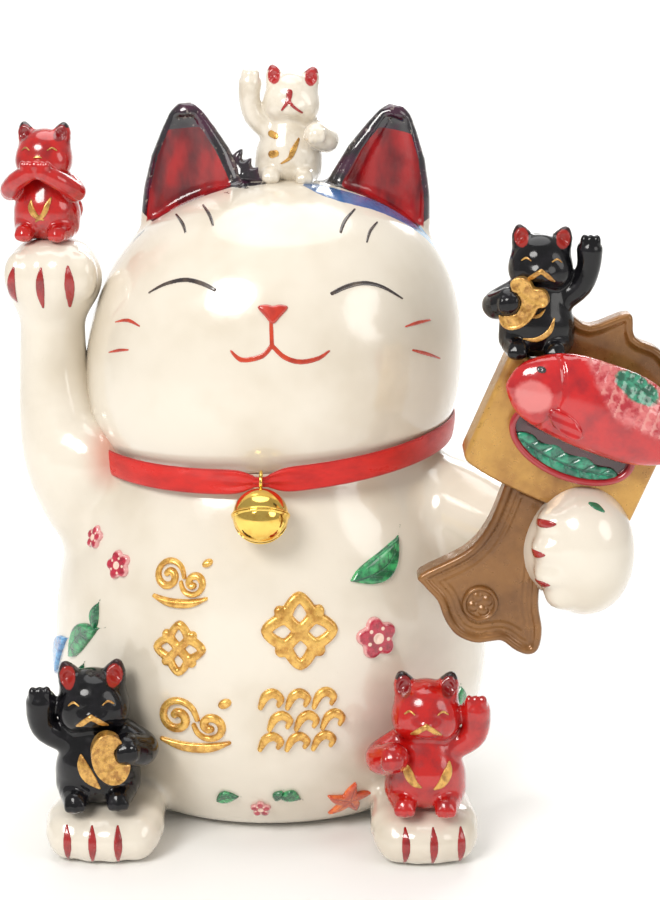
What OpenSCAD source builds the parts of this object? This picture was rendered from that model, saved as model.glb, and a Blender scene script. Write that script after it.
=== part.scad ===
// Beckoning cat coin bank: a glazed ceramic cat with one paw raised and the other holding
// a gilded charm, five kittens luted onto it, moulded relief on the belly, and a ribbon with a bell.
// The cat faces -Y. Left and right are the cat's own. The origin is at the middle of the foot, +Z up.

/* [Torso] */
// Width of the torso at its widest
body_w = 109; // [104:1:114]
// Depth of the torso at its deepest
body_d = 90; // [86:1:94]
// Height of the seam between torso and head
neck_z = 90; // [88:1:92]
// Thickness of the cast wall
wall = 4; // [3:0.5:5]

/* [Head] */
// Width of the head at the cheeks
head_w = 92; // [90:1:94]
// Depth of the head at the cheeks
head_d = 80; // [78:1:82]
// Height of the head above the seam
head_h = 64.5; // [63:0.5:66]
// Sideways lean of the head, in mm for each mm of height
head_lean = 0.065; // [0.04:0.005:0.08]

/* [Kittens] */
// Height of the kittens on the feet
foot_kitten_h = 35; // [33:1:36]
// Height of the kittens on the raised paw, the head and the charm
top_kitten_h = 28; // [27:1:29]

/* [Ribbon and bell] */
// Width of the ribbon
ribbon_w = 6; // [5:0.5:7]
// Radius of the bell
bell_r = 6.4; // [6:0.1:6.6]
// Distance from the ribbon's middle to the bell's centre
bell_drop = 8.3; // [8.2:0.1:8.5]
// Angle at which the bell leans on the chest
bell_lean = 32; // [31:1:36]

/* [Charm] */
// Width of the charm's block
block_w = 41; // [39:1:42]
// Height of the charm's block
block_h = 26; // [25:1:27]
// Thickness of the charm's block
block_t = 11; // [10:1:12]
// Sideways tilt of the charm
charm_tilt = 23; // [20:1:25]

/* [Coin bank] */
// Length of the coin slot
slot_l = 30; // [28:1:32]
// Width of the coin slot
slot_w = 3.6; // [3:0.2:4]
// Radius of the hole in the foot
hole_r = 12.5; // [11:0.5:13]

/* [Hidden] */

glaze = "ivory";
gilt = "goldenrod";
enamel_red = "firebrick";
enamel_black = "#222228";

around = 36;          // points round each ring of the torso and head
relief = 1.1;         // height of the moulded relief
foot_top = 13;        // height of the paws that lie on the ground
body_y = 1;           // torso's centre in depth
base_floor = 6;       // thickness of the torso's floor
recess = 2.5;         // depth of the recess under the foot
limb_fn = 14;         // fineness of the balls that the limbs are made of
kitten_fn = 10;       // fineness of the balls that the kittens are made of

// Shares of full height, width and depth up the torso and up the head.
body_stations = [[0, 0.66, 0.55], [0.06, 0.82, 0.73], [0.2, 0.95, 0.92], [0.42, 1, 1],
    [0.66, 0.955, 0.965], [0.86, 0.83, 0.875], [1, 0.735, 0.8]];
head_stations = [[0, 0.87, 0.9], [0.1, 0.955, 0.965], [0.3, 1, 1], [0.48, 0.965, 0.985],
    [0.64, 0.9, 0.925], [0.79, 0.785, 0.815], [0.9, 0.62, 0.65], [0.97, 0.4, 0.42], [1, 0.21, 0.24]];

// A smooth curve through the points p, with s steps between each pair
function spline(p, s) = [for (i = [0 : len(p) - 2], k = [0 : s - 1])
    let (a = p[max(i - 1, 0)], b = p[i], c = p[i + 1], d = p[min(i + 2, len(p) - 1)], t = k / s)
    0.5 * (2 * b + (c - a) * t + (2 * a - 5 * b + 4 * c - d) * t * t
        + (3 * b - a - 3 * c + d) * t * t * t)];
function spline_to_end(p, s) = concat(spline(p, s), [p[len(p) - 1]]);
function ellipse(rx, ry, cx, cy, z) =
    [for (i = [0 : around - 1]) [cx + rx * cos(360 * i / around), cy + ry * sin(360 * i / around), z]];

// Rings of the torso and of the head. grow is how far the torso's stand outside the glazed surface.
function body_rings(grow, low) = [for (s = spline_to_end(body_stations, 2))
    ellipse(body_w / 2 * s[1] + grow, body_d / 2 * s[2] + grow, 0, body_y,
        low + (neck_z - low) * s[0])];
head_rings = [for (s = spline_to_end(head_stations, 1)) let (z = head_h * s[0])
    ellipse(head_w / 2 * s[1], head_d / 2 * s[2], head_lean * z, 0, neck_z + z)];
function reversed(p) = [for (i = [len(p) - 1 : -1 : 0]) p[i]];

// A closed solid through a stack of rings with the same number of points
module loft(rings) {
    n = len(rings[0]);
    m = len(rings);
    sides = [for (j = [0 : m - 2], i = [0 : n - 1]) let (k = (i + 1) % n)
        each [[j * n + i, (j + 1) * n + k, j * n + k], [j * n + i, (j + 1) * n + i, (j + 1) * n + k]]];
    caps = [[for (i = [0 : n - 1]) i], [for (i = [n - 1 : -1 : 0]) (m - 1) * n + i]];
    polyhedron(points = [for (r = rings, p = r) p], faces = concat(sides, caps));
}

// A tapered limb along stations [x, y, z, radius]
module limb(stations, steps, fn = limb_fn) {
    s = spline_to_end(stations, steps);
    for (i = [0 : len(s) - 2])
        hull() {
            ball(s[i], fn);
            ball(s[i + 1], fn);
        }
}
module ball(s, fn) {
    translate([s[0], s[1], s[2]]) sphere(r = s[3], $fn = fn);
}
module blob(p, r, fn = limb_fn) {
    translate(p) scale(r) sphere(r = 1, $fn = fn);
}
module body_outside(grow = 0) {
    loft(body_rings(grow, 0));
}
module head_outside() {
    loft(head_rings);
}

// ---- cast shells ----
module body_shell() {
    inner = reversed(body_rings(-wall, base_floor));
    color(glaze) difference() {
        loft(concat(body_rings(0, 0), inner));
        translate([0, body_y, -1]) cylinder(r = hole_r, h = base_floor + 2, $fn = 64);
        foot_recess();
        coin_slot();
    }
}
module foot_recess() {
    for (x = [-12, 12]) translate([x, body_y, -1]) cylinder(r = 16, h = recess + 1, $fn = 64);
    translate([-12, body_y - 16, -1]) cube([24, 32, recess + 1]);
}
module coin_slot() {
    translate([0, 30, 68]) rotate([-90, 0, 0]) {
        translate([-slot_l / 2, -slot_w / 2, 0]) cube([slot_l, slot_w, 20]);
        for (x = [-1, 1]) translate([x * slot_l / 2, 0, 0]) cylinder(d = slot_w, h = 20, $fn = 24);
    }
}
module head_shell() {
    inner = [for (r = head_rings) [for (p = r)
        [p[0] * (1 - 2 * wall / head_w), p[1] * (1 - 2 * wall / head_d),
            neck_z + (p[2] - neck_z) * (1 - wall / head_h)]]];
    color(glaze) loft(concat(reversed(inner), head_rings));
}

// ---- ears ----
// Slices of an ear: [share of its height, half width, half thickness]
ear_slices = [[0, 15, 6.5], [0.22, 13.4, 6], [0.45, 11, 5], [0.7, 7.4, 3.6], [0.88, 4, 2.2], [1, 1.3, 1]];
ear_h = 31;
module ear_slice(s, grow, forward) {
    translate([0, forward, s[0] * ear_h]) scale([s[1] + grow, s[2] + grow, 1])
        cylinder(r = 1, h = 0.3, $fn = 20);
}
module ear_body(grow, forward) {
    for (i = [0 : len(ear_slices) - 2])
        hull() {
            ear_slice(ear_slices[i], grow, forward);
            ear_slice(ear_slices[i + 1], grow, forward);
        }
}
module ear(side) {
    color(enamel_black) difference() {
        translate([side * 21 + 3.6, 1, neck_z + 50]) rotate([4, side * 8 + 4, side * 6]) difference() {
            ear_body(0, 0);
            translate([0, -5.2, -2]) ear_body(-2.4, 0);
        }
        head_outside();
    }
}

// ---- limbs ----
raised_arm = [[-36, -4, 70, 13.5], [-42.5, -6, 78, 13.2], [-47.5, -7, 88, 12], [-50.5, -6, 98, 10],
    [-52, -4.5, 110, 8.3], [-52, -4.5, 121, 7.8]];
paw_top = 141.4;
module raised_arm_solid() {
    limb(raised_arm, 2);
    blob([-42, -12, 88], [9, 8.6, 10]);
    intersection() {
        hull() {
            blob([-51.4, -4.6, 131.5], [11.8, 10.6, 9.4]);
            blob([-51.2, -5.6, 133.2], [10.4, 9.6, 9.6]);
        }
        translate([-80, -30, 100]) cube([60, 60, paw_top - 100]);
    }
}
module raised_right_arm() {
    color(glaze) difference() {
        raised_arm_solid();
        body_outside();
        head_outside();
        ribbon_band();
    }
}
holding_arm = [[34, -8, 78, 13], [45, -13, 76, 12.6], [56, -23, 73.5, 11.6], [65, -33, 73, 10.6],
    [70, -41, 75, 10.8]];
module holding_left_arm() {
    color(glaze) difference() {
        union() {
            limb(holding_arm, 2);
            hull() {
                blob([72.6, -46.5, 79], [12, 11.6, 12.3]);
                blob([74, -46.5, 74], [11.2, 11, 12.6]);
            }
        }
        body_outside();
        on_charm() {
            block_solid();
            tail_solid();
        }
    }
}
// A paw on the ground: four toes, each running back to the heel
module foot_outside(x, y, w, turn) {
    intersection() {
        translate([x, y, 0]) rotate([0, 0, turn])
            for (i = [0 : 3]) let (side = (i - 1.5) * (w - 11) / 3)
                limb([[side, 6 + abs(side) / 4, 5, 5.6], [side, 12, 6.6, 6.8],
                    [side * 0.7, 26, 7, 7.4]], 1);
        translate([x - 30, y - 10, 0]) cube([60, 60, foot_top]);
    }
}
right_foot_at = [-39, -53.5];
left_foot_at = [38, -54.5];
module right_foot() {
    color(glaze) difference() {
        foot_outside(right_foot_at[0], right_foot_at[1], 26, -3);
        body_outside();
    }
}
module left_foot_outside() {
    foot_outside(left_foot_at[0], left_foot_at[1], 23.5, 3);
}
module left_foot() {
    color(glaze) difference() {
        left_foot_outside();
        body_outside();
    }
}
module tail() {
    color(glaze) difference() {
        limb([[14, 40, 9, 6.4], [21, 45, 15, 6.4], [25, 46, 24, 6], [24, 46, 33, 5.2], [20, 45.5, 40, 4]], 2);
        body_outside();
    }
}

// ---- stopper ----
module base_stopper() {
    color("dimgray") translate([0, body_y, 0]) difference() {
        rotate_extrude($fn = 64) polygon([[0, 0.7], [15, 0.7], [15, recess - 0.2],
            [hole_r - 0.2, recess - 0.2], [hole_r - 0.2, 5], [hole_r - 1, 9.5], [hole_r - 3, 9.5],
            [hole_r - 3, 4], [0, 4]]);
        for (y = [-6, 3]) translate([-4, y, 0]) cube([8, 3, 2.4]);
    }
}

// ---- ribbon ----
ribbon_x = 1.1;           // the collar's centre, which the head's lean carries off the middle
ribbon_rx = 44.1;
ribbon_ry = 39.8;
ribbon_t = 0.5;
ribbon_tilt = 2.8;        // rise of the collar towards the cat's left
front = 270;              // direction of the chest, in degrees round the neck
bell_x = -0.8;
bell_a = front - asin((ribbon_x - bell_x) / ribbon_rx);
function near(a, centre, width) = exp(-pow((a - centre) / width, 2));
function ribbon_z(a) = neck_z + 3.4 + ribbon_tilt * cos(a) - 2.8 * near(a, front, 70);
function ribbon_point(a, out, up) =
    [ribbon_x + (ribbon_rx + out) * cos(a), (ribbon_ry + out) * sin(a), ribbon_z(a) + up];
// The ribbon's section at angle a: it lies in the neck's groove, and the bell's loop gathers it
function ribbon_section(a) = let (g = near(a, bell_a, 5), h = ribbon_w / 2 * (1 - 0.6 * g),
        out = ribbon_t / 2 + 0.45 * g, in = out + 3 * (1 - near(a, bell_a, 9)))
    [for (c = [[-in, h], [out, h], [out, -h], [-in, -h]]) ribbon_point(a, c[0], c[1])];
module ribbon_band() {
    gap = 6;              // half the opening behind the neck that the knot fills, in degrees
    angles = concat([for (a = [90 + gap : 8 : bell_a - 20]) a],
        [for (a = [bell_a - 17.5 : 2.5 : bell_a + 17.5]) a],
        [for (a = [bell_a + 22 : 8 : 450 - gap]) a]);
    loft([for (a = angles) ribbon_section(a)]);
}
module ribbon_collar() {
    color("red") difference() {
        ribbon_band();
        head_outside();
        body_outside();
    }
}
module ribbon_knot() {
    color("red") translate([ribbon_x, ribbon_ry, ribbon_z(90)]) {
        hull() for (x = [-2.2, 2.2], z = [-1.8, 1.8])
            translate([x, 1.2, z]) sphere(r = 1.6, $fn = limb_fn);
        for (side = [-1, 1]) hull() {
            translate([side * 2, 2, -2]) sphere(r = 0.8, $fn = 14);
            translate([side * 5, 5.4, -18]) rotate([0, side * 12, 0]) cube([6, 0.6, 1], center = true);
        }
    }
}

// ---- bell ----
bell_pivot = ribbon_point(bell_a, 0, 0);
bell_wall = 0.45;
loop_r = 2.2;
loop_wire = 0.4;
pellet_r = 1.5;
module at_bell() {
    translate(bell_pivot) rotate([-bell_lean, 0, 0]) translate([0, 0, -bell_drop]) children();
}
// One stamped half, rim at z = 0 and crown up, with a rolled rim
module bell_half(rim_w, rim_h) {
    rotate_extrude($fn = 64) difference() {
        union() {
            circle(r = bell_r, $fn = 64);
            square([bell_r + rim_w, rim_h]);
        }
        circle(r = bell_r - bell_wall, $fn = 64);
        translate([-20, -10]) square([20, 30]);
        translate([-1, -20]) square([30, 20]);
    }
}
module bell_upper_half() {
    color(gilt) at_bell() difference() {
        bell_half(0.35, 0.3);
        loop_solid();
    }
}
module bell_lower_half() {
    color(gilt) at_bell() mirror([0, 0, 1]) difference() {
        bell_half(0.35, 0.3);
        translate([-5, -0.4, 2]) cube([10, 0.8, 6]);
        for (x = [-1, 1]) translate([x * 4.9, 0, 2]) cylinder(r = 0.9, h = 6, $fn = 24);
    }
}
// The wire loop, let into the crown and closed round the ribbon
module loop_solid() {
    translate([0, 0, bell_drop]) rotate([0, 90, 0])
        rotate_extrude($fn = 48) translate([loop_r, 0]) circle(r = loop_wire, $fn = 20);
}
module bell_loop() {
    color(gilt) at_bell() loop_solid();
}
pellet_gap = 0.15;
module bell_pellet() {
    hang = bell_r - bell_wall - pellet_r - pellet_gap;
    color("silver") at_bell() rotate([bell_lean, 0, 0]) translate([0, 0, -hang])
        sphere(r = pellet_r, $fn = 40);
}

// ---- gilded charm ----
charm_at = [69, -42, 102.4];
module on_charm() {
    translate(charm_at) rotate([0, charm_tilt, 0]) children();
}
module plate(t) {
    rotate([90, 0, 0]) linear_extrude(t, center = true) children();
}
block_bow = 3;            // how far the block's lower edge sags
block_edge = concat([[block_w / 2, block_h / 2], [-block_w / 2, block_h / 2]],
    [for (a = [180 : 15 : 360]) [block_w / 2 * cos(a), -block_h / 2 + block_bow * sin(a)]]);
module block_solid() {
    plate(block_t) polygon(block_edge);
}
// The handle's outline, down its left side, round the foot and up its right side
tail_edge = [[-9.4, -13], [-8.6, -18.4], [-8.5, -27], [-10.8, -34.2], [-18, -43.1], [-16.2, -45.2],
    [-11.7, -47.4], [-8.4, -50.8], [-4.4, -53.2], [0.4, -53.2], [3.9, -51.3], [6, -50.4], [9.8, -51.3],
    [13, -51], [14.4, -48.8], [13.2, -44.2], [9.8, -38.6], [6.6, -29], [5.6, -20], [5.4, -13]];
crest_edge = [[-13, 13], [-15, 20], [-12, 25], [-6, 24.5], [1, 30.5], [4.5, 26], [11, 25.5], [17, 21],
    [15, 13]];
tail_t = 6;
crest_t = 5;
module tail_outline(inset) {
    offset(delta = -inset) polygon(spline_to_end(tail_edge, 3));
}
module tail_solid() {
    plate(tail_t) tail_outline(0);
}
module charm_block() {
    color(gilt) on_charm() block_solid();
}
module charm_tail() {
    color(gilt) on_charm() difference() {
        plate(tail_t) tail_outline(0);
        block_solid();
        translate([0, -tail_t / 2, 0]) plate(1.2) difference() {
            tail_outline(1.8);
            tail_outline(2.8);
        }
        translate([0, -tail_t / 2, 0]) plate(0.8) tail_outline(3.8);
    }
}
module charm_crest() {
    color("peru") on_charm() translate([0, 1.5, 0]) plate(crest_t) polygon(spline_to_end(crest_edge, 3));
}
module charm_boss() {
    color(gilt) on_charm() translate([-2.5, -tail_t / 2 + 0.4, -44]) rotate([90, 0, 0])
        difference() {
            cylinder(r = 4.2, h = 1.4, $fn = 48);
            translate([0, 0, 0.6]) cylinder(r = 3.3, h = 2, $fn = 48);
            for (a = [0 : 90 : 270]) rotate(a) translate([1.6, 0, -1])
                cylinder(r = 0.6, h = 2.2, $fn = 20);
        }
}
dish_a = 15;
dish_b = 8.4;
dish_t = 2.6;
module dish_ellipse(inset) {
    scale([dish_a - inset, dish_b - inset]) circle(r = 1, $fn = 48);
}
module in_dish(depth) {
    on_charm() translate([0.4, -block_t / 2 - depth, -0.6]) children();
}
module offering_dish() {
    color("#3a1210") in_dish(dish_t / 2) difference() {
        plate(dish_t) dish_ellipse(0);
        translate([0, -0.9, 0]) plate(dish_t) dish_ellipse(1.5);
    }
}
module dish_leaf() {
    color("seagreen") in_dish(dish_t / 2 + 0.8) plate(0.8) intersection() {
        dish_ellipse(2);
        translate([-20, -20]) square([40, 17]);
    }
}
// The sea bream lies on its side across the dish, head towards the cat
bream = [[-15.6, 0, 8.6, 3.6], [-12, 0, 9, 7.4], [-6, 0, 10, 9.6], [2, 0, 10.2, 10],
    [10, 0, 9.6, 8.8], [16, 0, 8.8, 6], [21, 0, 8.4, 3.2]];
bream_flat = 0.48;        // its thickness against its depth
bream_lift = 2.2;         // its middle plane above the dish
module sea_bream() {
    color(enamel_red) difference() {
        in_dish(dish_t + bream_lift) {
            scale([1, bream_flat, 1]) limb(bream, 1);
            hull() {
                blob([21, 0, 8.2], [2, 1.4, 2.6]);
                blob([26.4, 0, 9.4], [1.2, 0.8, 6.4]);
            }
        }
        in_dish(dish_t / 2) translate([-60, -dish_t / 2, -60]) cube([120, 60, 120]);
        charm_kitten_solid();
    }
}

// ---- kittens ----
// One kitten of height h, sitting on z = 0. Its arms are limbs that the caller gives
module kitten(h, arms) {
    scale(h / 28) {
        hull() {
            blob([0, 0.5, 5.5], [7.6, 6.4, 6], kitten_fn);
            blob([0, 0.8, 12], [6.4, 5.2, 4.8], kitten_fn);
        }
        blob([0, -0.2, 20], [6.4, 6, 6.3], kitten_fn);
        for (side = [-1, 1]) {
            hull() {
                blob([side * 3.6, 0.4, 23.6], [2.6, 1.8, 2], kitten_fn);
                blob([side * 4.8, 0.4, 26.7], [1.1, 0.9, 1.2], kitten_fn);
            }
            hull() {
                blob([side * 3.9, -5.2, 1.8], [2.5, 2.6, 1.9], kitten_fn);
                blob([side * 4.6, -1, 3], [3, 3.6, 3], kitten_fn);
            }
        }
        for (arm = arms) limb(arm, 2, kitten_fn);
    }
}
module stand_kitten(at, turn, lean, h, arms, floor) {
    difference() {
        translate(at) rotate([0, lean, turn]) kitten(h, arms);
        translate([at[0] - 25, at[1] - 25, floor - 20]) cube([50, 50, 20]);
    }
}
function raised(side, top = 22.6) =
    [[side * 5.5, 0, 13, 2.8], [side * 9.2, -0.6, top * 0.73, 2.6], [side * 10, -1, top, 2.9]];
function bent(side) =
    [[side * 5.2, 0, 13.4, 2.9], [side * 9, -2.6, 10.8, 3], [side * 6.6, -5.8, 12.3, 3]];
function clasped(side) =
    [[side * 5.6, 0, 13, 2.5], [side * 7.4, -3.8, 12.2, 2.5], [side * 1.6, -7.6, 16.6, 2.2]];

module kitten_on_paw() {
    color(enamel_red)
        stand_kitten([-52.6, -4.6, paw_top], -8, 0, top_kitten_h, [clasped(-1), clasped(1)], paw_top);
}
crown = neck_z + head_h;
module kitten_on_head() {
    color("ivory") stand_kitten([4.8, 1.5, crown - 0.3], 0, 3, top_kitten_h, [raised(-1), bent(1)], crown);
}
charm_kitten_h = top_kitten_h + 1.5;
module charm_kitten_solid() {
    translate([61, charm_at[1] - 0.5, 120.5]) rotate([0, 2, -4])
        kitten(charm_kitten_h, [raised(1), bent(-1)]);
}
module kitten_on_charm() {
    color(enamel_black) difference() {
        charm_kitten_solid();
        on_charm() translate([0, 0, -40 + block_h / 2]) cube([90, 60, 80], center = true);
        on_charm() translate([0, 1.5, 0]) plate(crest_t) polygon(spline_to_end(crest_edge, 3));
    }
}
right_kitten_at = [-39.6, -41, foot_top];
left_kitten_at = [37.4, -44, foot_top];
module right_foot_kitten_solid() {
    stand_kitten(right_kitten_at, 2, -2, foot_kitten_h, [raised(-1, 20), bent(1)], foot_top);
}
module kitten_on_right_foot() {
    color(enamel_black) difference() {
        right_foot_kitten_solid();
        body_outside(0.2);
    }
}
module kitten_on_left_foot() {
    color(enamel_red) difference() {
        stand_kitten(left_kitten_at, -2, 0, foot_kitten_h - 1.5, [bent(-1), raised(1, 20)], foot_top);
        body_outside(0.2);
    }
}
// The gold coin that a kitten holds: an upright oval against its chest
module koban(h) {
    scale(h / 28) rotate([90, 0, 0]) linear_extrude(3.4) scale([3.4, 5]) circle(r = 1, $fn = 32);
}
module koban_on_charm_kitten() {
    color(gilt) difference() {
        translate([57, charm_at[1] - 5.6, 132.5]) rotate([0, 36, -14]) koban(charm_kitten_h);
        charm_kitten_solid();
    }
}
module koban_on_foot_kitten() {
    color(gilt) difference() {
        translate([right_kitten_at[0] + 3.4, right_kitten_at[1] - 7, foot_top + 14])
            rotate([0, -14, 10]) koban(foot_kitten_h);
        right_foot_kitten_solid();
    }
}

// ---- moulded relief on the belly ----
// Cuts a flat motif to a layer of even height on the torso, at bearing a and height z
module on_belly() {
    intersection() {
        children();
        difference() {
            body_outside(relief);
            body_outside(0);
        }
    }
}
module facing(a, z, turn = 0) {
    translate([0, body_y, z]) rotate([0, 0, a]) rotate([90, 0, 0]) rotate([0, 0, turn])
        linear_extrude(70) children();
}
// A brush stroke through points [x, y, radius]
module stroke(points, steps = 2) {
    s = spline_to_end(points, steps);
    for (i = [0 : len(s) - 2])
        hull() {
            translate([s[i][0], s[i][1]]) circle(r = s[i][2], $fn = 8);
            translate([s[i + 1][0], s[i + 1][1]]) circle(r = s[i + 1][2], $fn = 8);
        }
}
// A curl that winds in from its outer end
module curl(r, turns) {
    steps = ceil(turns * 8);
    stroke([for (i = [0 : steps]) let (a = 360 * turns * i / steps, d = r * (1 - 0.8 * i / steps))
        [d * cos(a), d * sin(a), 0.9]], 1);
}
module cloud_motif() {
    translate([-2.6, 0]) curl(3.6, 1.3);
    translate([3.4, -1]) rotate(180) curl(2.8, 1.2);
    stroke([[-5.6, -4.4, 0.6], [0, -5.4, 1], [6.4, -4.2, 0.6]]);
}
module knot_motif() {
    for (a = [45 : 90 : 315]) rotate(a) translate([3, 0])
        stroke([[-2, 0, 0.8], [0, 1.7, 0.8], [2.4, 0, 0.8], [0, -1.7, 0.8], [-2, 0, 0.8]]);
}
module wave_motif() {
    for (y = [-4, 0, 4]) translate([0, y])
        stroke([[-6, -1, 0.6], [-3, 1.2, 0.95], [0, -1, 0.8], [3, 1.2, 0.95], [6, -1, 0.6]]);
}
right_column = [[-24.5, 68.6], [-24, 54], [-21, 34.5]];
left_column = [[11.4, 57], [12.4, 35.5]];
module gold_relief_right() {
    color(gilt) on_belly() {
        facing(right_column[0][0], right_column[0][1]) scale(0.9) cloud_motif();
        facing(right_column[1][0], right_column[1][1]) knot_motif();
        facing(right_column[2][0], right_column[2][1]) scale(1.15) cloud_motif();
    }
}
module gold_relief_left() {
    color(gilt) on_belly() {
        facing(left_column[0][0], left_column[0][1]) scale(1.25) knot_motif();
        facing(left_column[1][0], left_column[1][1]) scale(1.2) wave_motif();
    }
}
module blossom(r) {
    for (a = [18 : 72 : 306]) rotate(a) hull() {
        translate([r * 0.62, 0]) circle(r = r * 0.42, $fn = 14);
        circle(r = r * 0.3, $fn = 14);
    }
}
module crimson_flowers() {
    color("crimson") on_belly() {
        facing(35, 54) blossom(4.6);
        facing(-48.5, 68) blossom(3.4);
        facing(-61, 72) blossom(2.6);
        facing(-2.5, 8) blossom(2.4);
    }
}
module leaf(length, w) {
    stroke([[-length / 2, -w / 2, 0.4], [-length / 5, 0, w / 3], [length / 5, 0.4, w / 2.1],
        [length / 2, w / 1.6, 0.6]]);
}
module green_leaves() {
    color("seagreen") on_belly() {
        facing(39, 73, 40) leaf(17, 6);
        facing(65, 31.5, 110) leaf(7, 4);
        facing(69, 27, 120) leaf(6, 4);
        facing(-59, 46.5, 38) leaf(18, 7);
        facing(-54.5, 54.5, 82) leaf(7, 3.4);
        facing(-60, 37.5, 78) leaf(9, 4);
        facing(-13.5, 11, 15) leaf(7, 4);
        facing(8.5, 11.5, -15) leaf(6, 4);
    }
}
module blue_leaf() {
    color("steelblue") on_belly() facing(-74, 39, 44) leaf(22, 6.4);
}
module orange_leaf() {
    color("orangered") difference() {
        on_belly() facing(30, 9.2) for (a = [20, 90, 160, 235, 305]) rotate(a)
            stroke([[0, 0, 1.8], [3, 0.4, 1.5], [6, 0, 0.4]], 1);
        left_foot_outside();
    }
}

body_shell();
head_shell();
ear(-1);  // right_ear
ear(1);  // left_ear
raised_right_arm();
holding_left_arm();
right_foot();
left_foot();
tail();
base_stopper();
ribbon_collar();
ribbon_knot();
bell_upper_half();
bell_lower_half();
bell_loop();
bell_pellet();
charm_block();
charm_tail();
charm_crest();
charm_boss();
offering_dish();
dish_leaf();
sea_bream();
kitten_on_paw();
kitten_on_head();
kitten_on_charm();
kitten_on_right_foot();
kitten_on_left_foot();
koban_on_charm_kitten();
koban_on_foot_kitten();
gold_relief_right();
gold_relief_left();
crimson_flowers();
green_leaves();
blue_leaf();
orange_leaf();
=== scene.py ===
import math

import bpy
import numpy as np
import openvdb
from mathutils import Matrix, Vector


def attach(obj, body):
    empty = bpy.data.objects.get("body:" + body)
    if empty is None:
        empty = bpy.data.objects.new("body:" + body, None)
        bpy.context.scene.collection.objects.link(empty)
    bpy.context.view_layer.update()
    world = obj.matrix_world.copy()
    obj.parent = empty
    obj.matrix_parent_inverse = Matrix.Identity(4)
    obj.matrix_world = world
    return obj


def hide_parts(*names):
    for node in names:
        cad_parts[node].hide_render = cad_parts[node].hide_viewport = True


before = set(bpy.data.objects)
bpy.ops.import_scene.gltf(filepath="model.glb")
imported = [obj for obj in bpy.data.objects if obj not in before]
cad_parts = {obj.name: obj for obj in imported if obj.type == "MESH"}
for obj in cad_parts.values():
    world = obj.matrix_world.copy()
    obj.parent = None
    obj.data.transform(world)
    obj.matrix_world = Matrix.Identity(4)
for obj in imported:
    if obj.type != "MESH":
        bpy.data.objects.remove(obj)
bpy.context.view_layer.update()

# Shapes are worked out in millimetres, in the CAD's frame: +X the cat's left, -Y its front, +Z up.
MM = 0.001
FAR = 1e3                 # a distance that no shape reaches


# ---------------------------------------------------------------- camera

CAMERA_TARGET = (0.015, 0.0, 0.088)
CAMERA_DISTANCE = 0.52
CAMERA_ELEVATION = 14
CAMERA_LENS = 84
CAMERA_SENSOR = 36


def make_camera():
    up = math.radians(CAMERA_ELEVATION)
    target = Vector(CAMERA_TARGET)
    place = target + CAMERA_DISTANCE * Vector((0, -math.cos(up), math.sin(up)))
    data = bpy.data.cameras.new("camera")
    data.lens = CAMERA_LENS
    data.sensor_width = CAMERA_SENSOR
    camera = bpy.data.objects.new("camera", data)
    camera.location = place
    camera.rotation_euler = (target - place).to_track_quat("-Z", "Y").to_euler()
    bpy.context.scene.collection.objects.link(camera)
    bpy.context.scene.camera = camera


make_camera()


# ---------------------------------------------------------------- solids as distances

def smooth_min(a, b, k):
    if k <= 0:
        return np.minimum(a, b)
    h = np.maximum(k - np.abs(a - b), 0) / k
    return np.minimum(a, b) - h * h * k * 0.25


def smooth_max(a, b, k):
    return -smooth_min(-a, -b, k)


class Solid:
    """A distance function of x, y and z, negative inside, and the box that holds the shape."""

    def __init__(self, distance, low, high):
        self.distance = distance
        self.low = np.asarray(low, float)
        self.high = np.asarray(high, float)

    def at(self, x, y, z):
        return self.distance(x, y, z)

    def on_axes(self, x, y, z):
        return self.distance(x[:, None, None], y[None, :, None], z[None, None, :]).astype(np.float32)


class Joined(Solid):
    """Solids melted together, each with its own blending radius."""

    def __init__(self, *parts):
        self.parts = parts
        self.low = np.min([s.low for s, k in parts], axis=0)
        self.high = np.max([s.high for s, k in parts], axis=0)

    def at(self, x, y, z):
        d = FAR
        for solid, k in self.parts:
            d = smooth_min(d, solid.at(x, y, z), k)
        return d

    def on_axes(self, x, y, z):
        d = np.full((len(x), len(y), len(z)), FAR, np.float32)
        for solid, k in self.parts:
            window = window_of(solid, k, x, y, z)
            if window is None:
                continue
            inner = solid.on_axes(x[window[0]], y[window[1]], z[window[2]])
            d[window] = smooth_min(d[window], inner, k)
        return d


class Cut(Solid):
    """A solid with others taken out of it."""

    def __init__(self, solid, *cutters):
        self.solid = solid
        self.cutters = cutters
        self.low = solid.low
        self.high = solid.high

    def at(self, x, y, z):
        d = self.solid.at(x, y, z)
        for cutter, k in self.cutters:
            d = smooth_max(d, -cutter.at(x, y, z), k)
        return d

    def on_axes(self, x, y, z):
        d = self.solid.on_axes(x, y, z)
        for cutter, k in self.cutters:
            window = window_of(cutter, k, x, y, z)
            if window is None:
                continue
            inner = cutter.on_axes(x[window[0]], y[window[1]], z[window[2]])
            d[window] = smooth_max(d[window], -inner, k)
        return d


class Met(Solid):
    """The space that all the given solids share."""

    def __init__(self, *parts):
        self.parts = parts
        self.low = np.max([s.low for s, k in parts], axis=0)
        self.high = np.min([s.high for s, k in parts], axis=0)

    def at(self, x, y, z):
        d = -FAR
        for solid, k in self.parts:
            d = smooth_max(d, solid.at(x, y, z), k)
        return d

    def on_axes(self, x, y, z):
        d = np.full((len(x), len(y), len(z)), -FAR, np.float32)
        for solid, k in self.parts:
            d = smooth_max(d, solid.on_axes(x, y, z), k)
        return d


def window_of(solid, k, x, y, z):
    """The slices of the axes that a solid and its blend can reach."""
    window = []
    for i, axis in enumerate((x, y, z)):
        step = axis[1] - axis[0] if len(axis) > 1 else 1
        pad = k + 4 * step
        inside = np.nonzero((axis > solid.low[i] - pad) & (axis < solid.high[i] + pad))[0]
        if len(inside) == 0:
            return None
        window.append(slice(inside[0], inside[-1] + 1))
    return tuple(window)


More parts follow.
